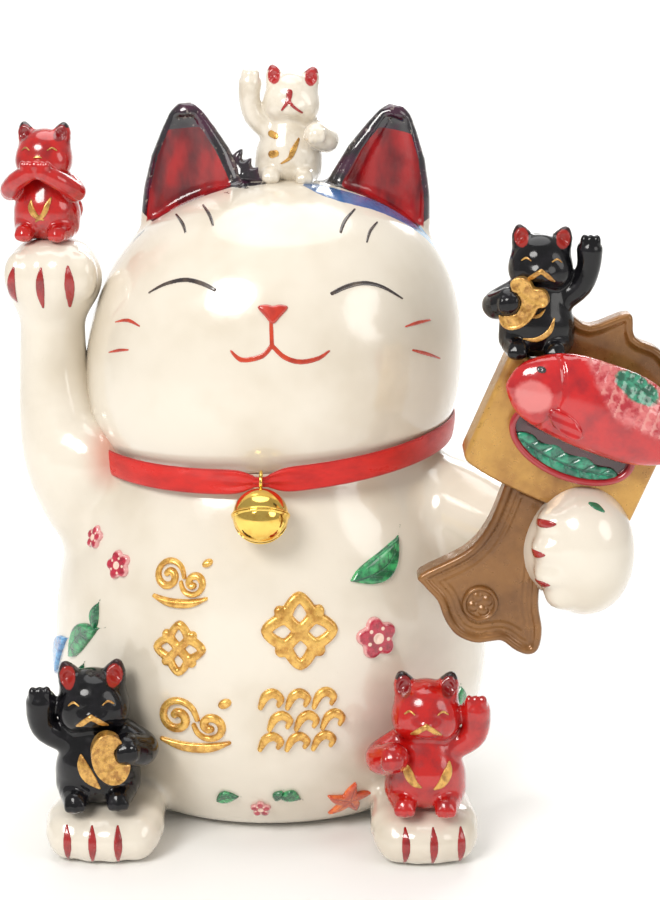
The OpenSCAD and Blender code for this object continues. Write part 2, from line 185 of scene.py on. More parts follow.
class Moved(Solid):
    """A solid carried from its own frame by a matrix in mm, of turns, moves and one even scale."""

    def __init__(self, solid, matrix):
        self.solid = solid
        self.grow = matrix.to_scale()[0]
        self.back = np.array(matrix.inverted())
        corners = [matrix @ Vector((a, b, c)) for a in (solid.low[0], solid.high[0])
                   for b in (solid.low[1], solid.high[1]) for c in (solid.low[2], solid.high[2])]
        self.low = np.min(corners, axis=0)
        self.high = np.max(corners, axis=0)

    def at(self, x, y, z):
        m = self.back
        local = [m[i][0] * x + m[i][1] * y + m[i][2] * z + m[i][3] for i in range(3)]
        return self.solid.at(*local) * self.grow

    def on_axes(self, x, y, z):
        return self.at(x[:, None, None], y[None, :, None], z[None, None, :]).astype(np.float32)


def ball(centre, radii):
    c = np.asarray(centre, float)
    r = np.broadcast_to(np.asarray(radii, float), (3,))

    def distance(x, y, z):
        px, py, pz = (x - c[0]) / r[0], (y - c[1]) / r[1], (z - c[2]) / r[2]
        k0 = np.sqrt(px * px + py * py + pz * pz)
        k1 = np.sqrt((px / r[0]) ** 2 + (py / r[1]) ** 2 + (pz / r[2]) ** 2)
        return k0 * (k0 - 1) / np.maximum(k1, 1e-6)

    return Solid(distance, c - r, c + r)


def cone(a, b, ra, rb):
    """A straight limb from a to b with a round end of its own radius at each."""
    a, b = np.asarray(a, float), np.asarray(b, float)
    ab = b - a
    length2 = max(float(ab @ ab), 1e-9)

    def distance(x, y, z):
        t = ((x - a[0]) * ab[0] + (y - a[1]) * ab[1] + (z - a[2]) * ab[2]) / length2
        t = np.clip(t, 0, 1)
        dx, dy, dz = x - a[0] - t * ab[0], y - a[1] - t * ab[1], z - a[2] - t * ab[2]
        return np.sqrt(dx * dx + dy * dy + dz * dz) - (ra + (rb - ra) * t)

    r = max(ra, rb)
    return Solid(distance, np.minimum(a, b) - r, np.maximum(a, b) + r)


def spline(points, steps):
    """A smooth curve through rows of numbers, steps to each stretch."""
    p = np.asarray(points, float)
    out = []
    for i in range(len(p) - 1):
        a, b, c, d = p[max(i - 1, 0)], p[i], p[i + 1], p[min(i + 2, len(p) - 1)]
        for k in range(steps):
            t = k / steps
            out.append(0.5 * (2 * b + (c - a) * t + (2 * a - 5 * b + 4 * c - d) * t * t
                              + (3 * b - a - 3 * c + d) * t ** 3))
    out.append(p[-1])
    return np.array(out)


def limb(stations, steps=4):
    """A bent, tapering limb along stations x, y, z, radius."""
    s = spline(stations, steps)
    return Joined(*[(cone(s[i][:3], s[i + 1][:3], s[i][3], s[i + 1][3]), 0) for i in range(len(s) - 1)])


def egg(centre, half_x, half_y, up, down, power=2.0, lean=0.0, deepen=0.0):
    """A round body whose upper and lower halves have their own heights. It leans towards +X as it
    rises, and its depth grows by the share deepen towards the top."""
    cx, cy, cz = centre

    def distance(x, y, z):
        h = z - cz
        px = x - cx - lean * h
        py = y - cy
        depth = half_y * (1 + deepen * np.clip(h / up, 0, 1) ** 2)
        rise = np.where(h > 0, h / up, -h / down)
        f = (((px / half_x) ** 2 + (py / depth) ** 2) ** (power / 2) + rise ** power) ** (1 / power)
        r = np.sqrt(px * px + py * py + h * h)
        return r - r / np.maximum(f, 1e-3)

    side = abs(lean) * max(up, down)
    deep = half_y * (1 + deepen)
    return Solid(distance, (cx - half_x - side, cy - deep, cz - down), (cx + half_x + side, cy + deep, cz + up))


def half_space(normal, offset):
    """Everything on the inner side of a plane."""
    n = np.asarray(normal, float)
    n = n / np.linalg.norm(n)
    return Solid(lambda x, y, z: n[0] * x + n[1] * y + n[2] * z - offset, (-FAR,) * 3, (FAR,) * 3)


# ---------------------------------------------------------------- flat shapes

def flat_stroke(points, steps=5):
    """A brush stroke through x, y, half width."""
    s = spline(points, steps) if len(points) > 2 else np.asarray(points, float)

    def distance(u, v):
        d = FAR
        for i in range(len(s) - 1):
            a, b = s[i], s[i + 1]
            ab = b[:2] - a[:2]
            t = ((u - a[0]) * ab[0] + (v - a[1]) * ab[1]) / max(float(ab @ ab), 1e-9)
            t = np.clip(t, 0, 1)
            gap = np.hypot(u - a[0] - t * ab[0], v - a[1] - t * ab[1]) - (a[2] + (b[2] - a[2]) * t)
            d = np.minimum(d, gap)
        return d

    return distance


def flat_outline(points, steps=0):
    """The inside of a closed outline, smoothed through its points if steps is given."""
    p = np.asarray(points, float)
    if steps:
        n = len(p)
        loop = np.vstack([p[-1:], p, p[:2]])
        s = spline(loop, steps)
        p = s[steps:steps * (n + 1)]

    def distance(u, v):
        d2 = np.full(np.broadcast(u, v).shape, FAR)
        sign = np.ones(d2.shape)
        for i in range(len(p)):
            a, b = p[i], p[i - 1]
            ex, ey = b[0] - a[0], b[1] - a[1]
            wx, wy = u - a[0], v - a[1]
            t = np.clip((wx * ex + wy * ey) / max(ex * ex + ey * ey, 1e-12), 0, 1)
            d2 = np.minimum(d2, (wx - ex * t) ** 2 + (wy - ey * t) ** 2)
            c1 = v >= a[1]
            c2 = v < b[1]
            c3 = ex * wy > ey * wx
            flip = (c1 & c2 & c3) | (~c1 & ~c2 & ~c3)
            sign = np.where(flip, -sign, sign)
        return sign * np.sqrt(d2)

    return distance


def flat_oval(centre, half_u, half_v, turn=0.0):
    c, s = math.cos(math.radians(turn)), math.sin(math.radians(turn))

    def distance(u, v):
        du, dv = u - centre[0], v - centre[1]
        a, b = (c * du + s * dv) / half_u, (-s * du + c * dv) / half_v
        k0 = np.hypot(a, b)
        k1 = np.hypot(a / half_u, b / half_v)
        return k0 * (k0 - 1) / np.maximum(k1, 1e-6)

    return distance


def flat_union(*shapes, k=0.0):
    def distance(u, v):
        d = FAR
        for shape in shapes:
            d = smooth_min(d, shape(u, v), k)
        return d

    return distance


def flat_turned(shape, turn=0.0, move=(0.0, 0.0), scale=1.0):
    c, s = math.cos(math.radians(turn)), math.sin(math.radians(turn))

    def distance(u, v):
        du, dv = (u - move[0]) / scale, (v - move[1]) / scale
        return shape(c * du + s * dv, -s * du + c * dv) * scale

    return distance


# ---------------------------------------------------------------- meshes

def faces_of(distance, low, step):
    """Points in mm and four-sided faces of the surface where a sampled distance is zero."""
    grid = openvdb.FloatGrid(3 * step)
    grid.copyFromArray(np.clip(distance, -3 * step, 3 * step))
    grid.transform = openvdb.createLinearTransform(voxelSize=step)
    points, quads = grid.convertToQuads(isovalue=0)
    return points + np.asarray(low), quads


def outward(points, quads):
    """The faces turned so that their normals point out of the solid."""
    a, b, c, d = (points[quads[:, i]] for i in range(4))
    volume = np.einsum("ij,ij->i", a, np.cross(b, c)).sum() + np.einsum("ij,ij->i", a, np.cross(c, d)).sum()
    return quads if volume > 0 else quads[:, ::-1]


def surface(solid, step, **masks):
    """A solid's surface, and for each mask its distance in mm at every point of it."""
    low = solid.low - 3 * step
    high = solid.high + 3 * step
    axes = [np.arange(low[i], high[i] + step, step, dtype=np.float32) for i in range(3)]
    points, quads = faces_of(solid.on_axes(*axes), low, step)
    values = {mask: distance(*points.T) for mask, distance in masks.items()}
    return points, outward(points, quads), values


def make_piece(name, parts, body, materials, replaces=()):
    """One object from parts (points in mm, faces, masks), riding on a CAD body.

    Its name gets an ending of its own, because the CAD nodes already use the plain names.
    """
    name += "_visual"
    points = np.vstack([part[0] for part in parts])
    starts = np.cumsum([0] + [len(part[0]) for part in parts])
    quads = np.vstack([part[1] + start for part, start in zip(parts, starts)])
    mesh = bpy.data.meshes.new(name)
    mesh.vertices.add(len(points))
    mesh.vertices.foreach_set("co", (points * MM).astype(np.float32).ravel())
    mesh.loops.add(quads.size)
    mesh.loops.foreach_set("vertex_index", quads.astype(np.int32).ravel())
    mesh.polygons.add(len(quads))
    mesh.polygons.foreach_set("loop_start", np.arange(0, quads.size, quads.shape[1], dtype=np.int32))
    mesh.polygons.foreach_set("use_smooth", np.ones(len(quads), bool))
    mesh.update(calc_edges=True)
    for mask in sorted({mask for part in parts for mask in part[2]}):
        values = [np.broadcast_to(part[2].get(mask, FAR), len(part[0])) for part in parts]
        layer = mesh.attributes.new(mask, "FLOAT", "POINT")
        layer.data.foreach_set("value", np.concatenate(values).astype(np.float32))
    for material in materials:
        mesh.materials.append(material)
    piece = bpy.data.objects.new(name, mesh)
    bpy.context.scene.collection.objects.link(piece)
    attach(piece, body)
    if replaces:
        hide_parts(*replaces)


class Facing:
    """A flat frame laid against a solid: u to the right, v up and w out of its surface."""

    def __init__(self, base, origin, u, w):
        self.base = base
        self.w = np.asarray(w, float) / np.linalg.norm(w)
        u = np.asarray(u, float)
        u = u - self.w * (u @ self.w)
        self.u = u / np.linalg.norm(u)
        self.v = np.cross(self.w, self.u)
        self.origin = self.on_surface(np.asarray(origin, float))

    def on_surface(self, origin, reach=60.0):
        """Slides the origin along w to the base's outer surface."""
        t = np.linspace(reach, -reach, 1201)
        p = origin[:, None] + self.w[:, None] * t[None, :]
        inside = np.nonzero(self.base.at(p[0], p[1], p[2]) < 0)[0]
        return origin + self.w * t[inside[0] if len(inside) else len(t) // 2]


def relief(facing, shape, half_u, half_v, height, step, edge=0.2, sink=0.5, reach=5.0, **masks):
    """A layer of even height on a solid, inside a flat shape seen along w, with rounded edges."""
    pad = 3 * step
    u = np.arange(-half_u - pad, half_u + pad + step, step)
    v = np.arange(-half_v - pad, half_v + pad + step, step)
    w = np.arange(-reach, height + reach * 0.35 + pad, step)
    U, V, W = u[:, None, None], v[None, :, None], w[None, None, :]
    p = [facing.origin[i] + facing.u[i] * U + facing.v[i] * V + facing.w[i] * W for i in range(3)]
    base = facing.base.at(*p)
    flat = shape(u[:, None], v[None, :])[:, :, None]
    d = smooth_max(smooth_max(flat, base - height, edge), -(base + sink), 0)
    d = np.maximum(d, (-reach + 2 * step) - W)
    points, quads = faces_of(d.astype(np.float32), (u[0], v[0], w[0]), step)
    quads = outward(points, quads)
    values = {mask: distance(points[:, 0], points[:, 1]) for mask, distance in masks.items()}
    world = facing.origin + points[:, :1] * facing.u + points[:, 1:2] * facing.v + points[:, 2:] * facing.w
    return world, quads, values


# ---------------------------------------------------------------- materials

class Paint:
    """A material's nodes, added one after another."""

    def __init__(self, name, **sockets):
        self.material = bpy.data.materials.new(name)
        self.material.use_nodes = True
        self.tree = self.material.node_tree
        self.tree.nodes.clear()
        output = self.tree.nodes.new("ShaderNodeOutputMaterial")
        self.shader = self.tree.nodes.new("ShaderNodeBsdfPrincipled")
        self.tree.links.new(self.shader.outputs["BSDF"], output.inputs["Surface"])
        for socket, value in sockets.items():
            self.shader.inputs[socket.replace("_", " ")].default_value = value
        self.place = self.add("ShaderNodeTexCoord").outputs["Object"]

    def add(self, kind, sockets=None, **settings):
        node = self.tree.nodes.new(kind)
        for setting, value in settings.items():
            setattr(node, setting, value)
        for socket, value in (sockets or {}).items():
            if isinstance(value, bpy.types.NodeSocket):
                self.tree.links.new(value, node.inputs[socket])
            else:
                node.inputs[socket].default_value = value
        return node

    def noise(self, size, detail=3.0, roughness=0.5, stretch=(1, 1, 1)):
        """Noise whose features are about size mm across."""
        place = self.add("ShaderNodeMapping", {"Vector": self.place, "Scale": stretch}).outputs["Vector"]
        sockets = {"Vector": place, "Scale": 1 / (size * MM), "Detail": detail, "Roughness": roughness}
        return self.add("ShaderNodeTexNoise", sockets).outputs["Fac"]

    def remap(self, value, low, high, to_low=0.0, to_high=1.0):
        sockets = {"Value": value, "From Min": low, "From Max": high, "To Min": to_low, "To Max": to_high}
        return self.add("ShaderNodeMapRange", sockets, interpolation_type="SMOOTHSTEP").outputs["Result"]

    def math(self, operation, a, b=0.0):
        return self.add("ShaderNodeMath", {0: a, 1: b}, operation=operation).outputs[0]

    def attribute(self, name):
        return self.add("ShaderNodeAttribute", attribute_name=name).outputs["Fac"]

    def mask(self, name, edge=0.12, ragged=0.0, size=1.0):
        """1 inside a painted patch and 0 outside it, with an edge that wanders by ragged mm."""
        distance = self.attribute(name)
        if ragged:
            wander = self.math("MULTIPLY", self.math("SUBTRACT", self.noise(size, 4, 0.6), 0.5), 2 * ragged)
            distance = self.math("ADD", distance, wander)
        return self.remap(distance, edge, -edge)

    def mix(self, factor, a, b):
        node = self.add("ShaderNodeMix", data_type="RGBA")
        for socket, value in ((0, factor), (6, a), (7, b)):
            if isinstance(value, bpy.types.NodeSocket):
                self.tree.links.new(value, node.inputs[socket])
            else:
                node.inputs[socket].default_value = (*value, 1) if socket else value
        return node.outputs[2]

    def set(self, socket, value):
        self.tree.links.new(value, self.shader.inputs[socket])

    def bump(self, height, distance, strength=1.0, normal=None):
        sockets = {"Height": height, "Distance": distance * MM, "Strength": strength}
        if normal:
            sockets["Normal"] = normal
        normal = self.add("ShaderNodeBump", sockets).outputs["Normal"]
        self.set("Normal", normal)
        return normal


IVORY = (0.77, 0.705, 0.60)
WARM = (0.66, 0.585, 0.47)
BLACK = (0.012, 0.010, 0.014)
PLUM = (0.05, 0.008, 0.03)


def glazed(name, colour, shade, patches=(), roughness=0.16, ripple=0.02, cloud=22.0, gloss=0.03):
    """A fired glaze that pools and thins, over soft patches (mask, colour, edge, strength)."""
    paint = Paint(name, Coat_Weight=1.0, Coat_Roughness=gloss, Coat_IOR=1.5, Specular_IOR_Level=0.5)
    pooled = paint.remap(paint.noise(cloud, 3, 0.5), 0.38, 0.78)
    tone = paint.mix(pooled, colour, shade)
    specks = paint.remap(paint.noise(0.9, 2, 0.5), 0.70, 0.80)
    tone = paint.mix(paint.math("MULTIPLY", specks, 0.25), tone, shade)
    for mask, patch, edge, strength in patches:
        tone = paint.mix(paint.math("MULTIPLY", paint.mask(mask, edge, 0.6, 6.0), strength), tone, patch)
    paint.set("Base Color", tone)
    paint.set("Roughness", paint.remap(paint.noise(4.0, 3), 0.3, 0.7, roughness * 0.7, roughness * 1.5))
    flow = paint.bump(paint.noise(7.0, 2, 0.4), ripple * 6)
    paint.bump(paint.noise(1.1, 2, 0.5), ripple, 1.0, flow)
    return paint.material


def gilded(name, bright, dull, roughness, metallic, size):
    """Fired gold paint: brushed on unevenly, duller where it is thin, in patches of size mm."""
    paint = Paint(name, Metallic=metallic, Coat_Weight=0.6, Coat_Roughness=0.12)
    thin = paint.remap(paint.noise(size, 5, 0.62), 0.38, 0.68)
    tone = paint.mix(thin, bright, dull)
    grain = paint.remap(paint.noise(0.45, 2, 0.6), 0.55, 0.8)
    tone = paint.mix(paint.math("MULTIPLY", grain, 0.35), tone, dull)
    paint.set("Base Color", tone)
    paint.set("Roughness", paint.remap(paint.noise(1.6, 4), 0.3, 0.7, roughness * 0.75, roughness * 1.4))
    strokes = paint.bump(paint.noise(1.8, 3, 0.6, (1, 1, 0.35)), 0.05)
    paint.bump(paint.noise(0.4, 2), 0.012, 1.0, strokes)
    return paint.material


def satin(name):
    """Red satin: fine threads along and across the ribbon, a corded edge and a soft sheen."""
    paint = Paint(name, Sheen_Weight=0.35, Sheen_Roughness=0.35, Specular_IOR_Level=0.45)
    along = paint.attribute("along")
    across = paint.attribute("across")
    thread = paint.math("SINE", paint.math("MULTIPLY", across, 2 * math.pi / 0.16))
    pick = paint.math("SINE", paint.math("MULTIPLY", along, 2 * math.pi / 0.22))
    weave = paint.math("ADD", paint.math("MULTIPLY", thread, 0.6), paint.math("MULTIPLY", pick, 0.4))
    crease = paint.noise(3.0, 4, 0.6, (0.4, 0.4, 1))
    tone = paint.mix(paint.remap(crease, 0.35, 0.8), (0.66, 0.012, 0.006), (0.46, 0.006, 0.004))
    edge = paint.remap(paint.math("ABSOLUTE", across), 2.55, 2.8)
    tone = paint.mix(paint.math("MULTIPLY", edge, 0.5), tone, (0.36, 0.004, 0.006))
    paint.set("Base Color", tone)
    paint.set("Roughness", paint.remap(crease, 0.3, 0.7, 0.26, 0.42))
    cord = paint.bump(edge, 0.12)
    folds = paint.bump(crease, 0.25, 0.6, cord)
    paint.bump(weave, 0.02, 0.8, folds)
    return paint.material


def polished_brass(name):
    paint = Paint(name, Metallic=1.0)
    tarnish = paint.remap(paint.noise(3.0, 4, 0.6), 0.45, 0.8)
    paint.set("Base Color", paint.mix(tarnish, (0.95, 0.66, 0.16), (0.80, 0.47, 0.09)))
    scratches = paint.noise(0.5, 3, 0.6, (0.1, 1, 1))
    paint.set("Roughness", paint.remap(scratches, 0.3, 0.8, 0.05, 0.18))
    paint.bump(scratches, 0.004)
    return paint.material


def dull_steel(name):
    paint = Paint(name, Metallic=1.0)
    spots = paint.remap(paint.noise(0.8, 4), 0.4, 0.7)
    paint.set("Base Color", paint.mix(spots, (0.60, 0.60, 0.61), (0.36, 0.35, 0.34)))
    paint.set("Roughness", paint.remap(spots, 0, 1, 0.22, 0.40))
    paint.bump(paint.noise(0.3, 2), 0.004)
    return paint.material


def moulded_rubber(name):
    paint = Paint(name, Specular_IOR_Level=0.35)
    dust = paint.remap(paint.noise(4.0, 5, 0.65), 0.5, 0.8)
    paint.set("Base Color", paint.mix(dust, (0.022, 0.022, 0.024), (0.10, 0.095, 0.088)))
    paint.set("Roughness", paint.remap(dust, 0, 1, 0.55, 0.85))
    paint.bump(paint.noise(0.35, 3), 0.03)
    return paint.material


# ---------------------------------------------------------------- torso and head

WALL = 4.0                # how thick the fired clay is
NECK_SLOPE = 0.0635       # the ribbon rises towards +X, and the seam under it too
SEAM_Z = 91.3             # where the head's seam crosses x = 0, hidden by the ribbon

torso_egg = egg((0, 1, 38), 54.5, 45, 74.2, 49.2, 2.1, 0.0, 0.09)
head_egg = egg((1.25, 0, 109), 46, 40, 46, 34, 2.27, 0.065)
both_eggs = Joined((torso_egg, 0), (head_egg, 2.5))
below_seam = half_space((-NECK_SLOPE, 0, 1), SEAM_Z / math.hypot(1, NECK_SLOPE))
above_seam = half_space((NECK_SLOPE, 0, -1), -SEAM_Z / math.hypot(1, NECK_SLOPE))
ground = half_space((0, 0, -1), 0)


def grown(solid, by):
    return Solid(lambda x, y, z: solid.at(x, y, z) - by, solid.low - by, solid.high + by)


def bar_hole(half_x, radius, y, z, axis, low, high):
    """A long round-ended hole through y or z, for the coin slot and the recess under the foot."""
    def distance(x, py, pz):
        other = (pz - z) if axis == 1 else (py - y)
        through = py if axis == 1 else pz
        flat = np.hypot(np.maximum(np.abs(x) - half_x, 0), other) - radius
        return np.maximum(flat, np.abs(through - (low + high) / 2) - (high - low) / 2)

    reach = half_x + radius
    if axis == 1:
        return Solid(distance, (-reach, low, z - radius), (reach, high, z + radius))
    return Solid(distance, (-reach, y - radius, low), (reach, y + radius, high))


FLOOR = 6.0               # how thick the bottom is
hollow = Joined((Met((grown(torso_egg, -WALL), 0), (half_space((0, 0, -1), -FLOOR), 1.5)), 0),
                (grown(head_egg, -WALL), 2))
coin_slot = bar_hole(13.2, 1.8, 0, 68, 1, 28, 56)
foot_recess = bar_hole(12, 16, 1, 0, 2, -4, 2.5)
foot_hole = bar_hole(0, 12.5, 1, 0, 2, -4, 9)

raised_arm = limb([(-36, -4, 70, 13.5), (-42.5, -6, 78, 13.2), (-47.5, -7, 88, 12), (-50.5, -6, 98, 10),
                   (-52, -4.5, 110, 8.3), (-52, -4.5, 121, 7.8), (-51.8, -4.6, 128, 8.2)])
raised_paw = Joined((ball((-51.4, -4.6, 131.5), (11.4, 10.2, 9.4)), 0),
                    (ball((-51.2, -5.6, 133.6), (10.2, 9.6, 9.2)), 3))
raised_toes = [(ball((-51.3 + side * 5.1, -12.6 + abs(side) * 0.9, 133.4), (3.3, 3.6, 5.6)), 1.8)
               for side in (-1.5, -0.5, 0.5, 1.5)]
PAW_TOP = 141.4
holding_arm = limb([(34, -8, 78, 13), (45, -13, 76, 12.6), (56, -23, 73.5, 11.6), (65, -33, 73, 10.6),
                    (70, -41, 75, 10.8)])
holding_paw = Joined((ball((72.2, -46.5, 79.4), (11.0, 11.2, 12)), 0),
                     (ball((73, -46.5, 73.6), (10.9, 10.8, 12.4)), 4))
HOLDING_TOES = [(65.6, -51, 84.0), (64.4, -52.2, 78.2), (65.0, -52.4, 72.4), (67.6, -51.4, 67.2)]
holding_toes = [(ball(p, (4.0, 4.2, 3.4)), 1.8) for p in HOLDING_TOES]
tail_limb = limb([(14, 40, 9, 6.2), (21, 45, 15, 6.2), (25, 46, 24, 5.8), (24, 46, 33, 5.0), (20, 45.3, 40, 4.1)])

FOOT_TOP = 13.0           # where a kitten stands


def foot(x, y, width, turn):
    """Four toes, each running back to the heel, with a flat top for the kitten to stand on."""
    parts = []
    for i in range(4):
        side = (i - 1.5) * (width - 11) / 3
        toe = limb([(side, 6 + abs(side) / 4, 5.4, 5.5), (side, 12, 6.8, 6.6), (side * 0.7, 26, 7, 7.2)], 2)
        parts.append((toe, 1.2))
    pad = ball((0, 15, 5.5), (width / 2 - 1.5, 12, 7.4))
    whole = Met((Joined(*parts, (pad, 1.5)), 0), (half_space((0, 0, 1), FOOT_TOP), 3), (ground, 1.2))
    whole.low, whole.high = np.array((-width / 2 - 2, -1, 0)), np.array((width / 2 + 2, 35, FOOT_TOP))
    return Moved(whole, Matrix.Translation((x, y, 0)) @ Matrix.Rotation(math.radians(turn), 4, "Z"))


RIGHT_FOOT = (-39, -53.5, 26, -3)
LEFT_FOOT = (38, -54.5, 23.5, 3)
right_foot = foot(*RIGHT_FOOT)
left_foot = foot(*LEFT_FOOT)

shoulder = ball((-42, -12, 88), (9, 8.6, 10))
raised_limb = Met((Joined((raised_arm, 0), (shoulder, 3), (raised_paw, 4), *raised_toes), 0),
                  (half_space((0, 0, 1), PAW_TOP), 1.5))
raised_limb.low, raised_limb.high = np.array((-64, -21, 54)), np.array((-21, 12, PAW_TOP))
holding_limb = Joined((holding_arm, 0), (holding_paw, 4), *holding_toes)

torso_outside = Met((torso_egg, 0), (ground, 4))
torso_outside.low, torso_outside.high = np.array((-55, -49, 0)), np.array((55, 51, 112))
torso_top = Met((Joined((torso_outside, 0), (head_egg, 2.5)), 0), (below_seam, 0))
torso_top.low, torso_top.high = np.array((-58, -50, 0)), np.array((58, 52, 95.5))
torso_walls = Cut(torso_top, (hollow, 0))
glazed_body = Joined((torso_walls, 0), (Cut(raised_limb, (hollow, 0)), 4), (Cut(holding_limb, (hollow, 0)), 5),
                     (right_foot, 3.5), (left_foot, 3.5), (tail_limb, 3))
glazed_body = Cut(Met((glazed_body, 0), (ground, 0.6)), (coin_slot, 1.0), (foot_recess, 0.6), (foot_hole, 0.6))
glazed_body.low = glazed_body.solid.low = np.array((-64.5, -58.5, 0.0))
glazed_body.high = glazed_body.solid.high = np.array((86.0, 53.0, PAW_TOP))

# The ears, each in a frame of its own that stands on the head
EAR_HEIGHTS = [0.0, 6.8, 14.0, 21.7, 28.0, 31.6, 33.4]
EAR_HALF_WIDTHS = [14.6, 13.9, 12.3, 9.5, 6.1, 3.9, 1.8]
EAR_HALF_DEPTHS = [6.8, 6.2, 5.2, 3.9, 2.8, 2.1, 1.2]


def ear_width(z):
    return np.interp(z, EAR_HEIGHTS, EAR_HALF_WIDTHS)


def ear_blade(shrink=0.0):
    """A leaf-shaped blade along z, whose sides bow out a little."""
    def distance(x, y, z):
        half_x = np.maximum(ear_width(z) - shrink, 0.3)
        half_y = np.maximum(np.interp(z, EAR_HEIGHTS, EAR_HALF_DEPTHS) - shrink, 0.3)
        k = np.sqrt((x / half_x) ** 2 + (y / half_y) ** 2)
        side = (k - 1) * np.minimum(half_y, half_x) * 0.95
        return np.maximum(side, np.maximum(z - (EAR_HEIGHTS[-1] - shrink), -9 - z))

    return Solid(distance, (-17, -7, -9), (17, 7, 34.5))


def ear_place(side):
    turn = (Matrix.Rotation(math.radians(side * 6), 4, "Z") @ Matrix.Rotation(math.radians(side * 8 + 3), 4, "Y")
            @ Matrix.Rotation(math.radians(4), 4, "X"))
    return Matrix.Translation((side * 20.3 + 4.0, 1, 140)) @ turn


def ear_scoop(x, y, z):
    """The hollow in an ear's front, which follows the blade up to its tip."""
    half_x = np.maximum(ear_width(z) - 2.0, 0.3)
    depth = np.interp(z, EAR_HEIGHTS, EAR_HALF_DEPTHS)
    k = np.sqrt((x / half_x) ** 2 + ((y + depth) / (0.8 * depth)) ** 2)
    return np.maximum((k - 1) * 0.8 * depth, np.maximum(z - 30.6, 1.0 - z))


scoop = Solid(ear_scoop, (-17, -14, 0), (17, 3, 32))
one_ear = Cut(ear_blade(), (scoop, 0.8))
ears = [Moved(one_ear, ear_place(side)) for side in (-1, 1)]


def inner_ear(x, y, z):
    """How far a point on an ear's front lies from the red hollow's edge. Its outer side is at +x."""
    half = ear_width(z)
    inside = np.maximum(x - (half - 1.9), -x - (half - 3.0)) * 0.9
    blade = ear_blade(0).at(x, y, z) - 0.2
    return np.maximum(np.maximum(np.maximum(inside, z - 27.6), np.maximum(1.0 - z, y + 0.1)), blade)


def on_each_ear(distance):
    low, high = np.array((-18, -9, -4)), np.array((18, 9, 36))
    left, right = [Moved(Solid(lambda x, y, z, way=side: distance(way * x, y, z), low, high), ear_place(side))
                   for side in (-1, 1)]
    return lambda x, y, z: np.minimum(left.at(x, y, z), right.at(x, y, z))


def ear_outside(x, y, z):
    """The dark glaze on an ear: all of the blade above the head."""
    return np.maximum(ear_blade(0).at(x, y, z) - 0.9, 3.2 - z + 0.03 * x * x)


head_whole = Met((Joined((head_egg, 0), (torso_egg, 2.5)), 0), (above_seam, 0))
head_whole.low, head_whole.high = np.array((-49, -43, 87)), np.array((51, 44, 156))
head_walls = Cut(head_whole, (hollow, 0))
glazed_head = Joined((head_walls, 0), *[(Cut(ear, (grown(head_egg, -WALL), 0)), 1.5) for ear in ears])
head_and_ears = Joined((both_eggs, 0), *[(ear, 1.5) for ear in ears])

# Painted patches on the head: brush strokes through x, y, z, radius
fur_strokes = Joined(*[(limb(stroke, 2), 0.6) for stroke in (
    [(-10, -3, 156.5, 2.8), (-5.5, -5, 155.8, 2.6), (-1.5, -5.5, 154.9, 1.3)],
    [(-9, -4, 156, 2.2), (-4.5, -8.5, 154.2, 0.6)],
    [(-12, -4, 155.6, 2.0), (-9, -10, 153.2, 0.6)],
    [(-26, -6.5, 149, 1.8), (-29.4, -6, 145.4, 1.3), (-31.0, -5, 142, 0.9), (-32.4, -5, 138.8, 0.5)])])
blue_strokes = Joined(*[(limb(stroke, 2), 0.8) for stroke in (
    [(10.8, -6.8, 154.3, 2.3), (14, -9.4, 153.6, 3.4), (18, -10.6, 152.4, 3.7), (24, -9.6, 150.8, 3.3),
     (29.5, -7.8, 148.3, 3.0), (34.5, -5.6, 144.8, 2.7), (38.4, -3.6, 141.2, 1.8), (40.8, -3.6, 138.2, 0.7)],)])
pale_tip = ball((40, -4, 140.5), (6.5, 9, 5.5))
# Pink painted shade: one patch in the crook under the raised arm, one on the belly beside the red kitten on the
# left foot
painted_pink_shade_spots = Joined((ball((-38.5, -17.5, 91), (3.6, 5, 6.5)), 0), (ball((27, -40, 21.5), (4.5, 5, 4)), 0))


# ---------------------------------------------------------------- placing marks

VIEW = (0, -math.cos(math.radians(CAMERA_ELEVATION)), math.sin(math.radians(CAMERA_ELEVATION)))


def in_front(base, x, v, y=-30.0):
    """A facing that looks at the camera, at x across and v up its picture plane."""
    z = (v - VIEW[2] * y) / -VIEW[1]
    return Facing(base, (x, y, z), (1, 0, 0), VIEW)


def on_side(base, bearing, z, tilt=0.0, turn=0.0, centre=(0.0, 1.0)):
    """A facing on the torso at a height and a bearing from the front, in degrees. It looks up by tilt."""
    a, t, r = math.radians(bearing), math.radians(tilt), math.radians(turn)
    across = np.array((math.cos(a), math.sin(a), 0))
    level = Facing(base, (centre[0], centre[1], z), across, (math.sin(a), -math.cos(a), 0))
    w = (math.sin(a) * math.cos(t), -math.cos(a) * math.cos(t), math.sin(t))
    up = np.cross(w, across)
    u = across * math.cos(r) + up * math.sin(r)
    return Facing(base, level.origin, u, w)


def flat_strokes(strokes):
    """Several strokes, each a list of x, y, half width, as one flat shape."""
    return flat_union(*[flat_stroke(points) for points in strokes])


def spindle(length, half, bend=0.0):
    """A brush stroke along v, fullest in the middle and pointed at both ends."""
    return flat_stroke([(-bend, -length / 2, half * 0.35), (0, -length / 6, half), (0, length / 6, half),
                        (-bend, length / 2, half * 0.3)])


# ---------------------------------------------------------------- the cat's glazed skin

# The ivory glaze, with the pink painted shade patches laid over it
body_glaze = glazed("ivory_glaze", IVORY, WARM, [("blush", (0.66, 0.25, 0.17), 4.0, 0.75)], gloss=0.10)
make_piece("glazed_body", [surface(glazed_body, 0.9, blush=painted_pink_shade_spots.at)], "figure",
           [body_glaze], ("body_shell", "raised_right_arm", "holding_left_arm", "right_foot", "left_foot", "tail"))

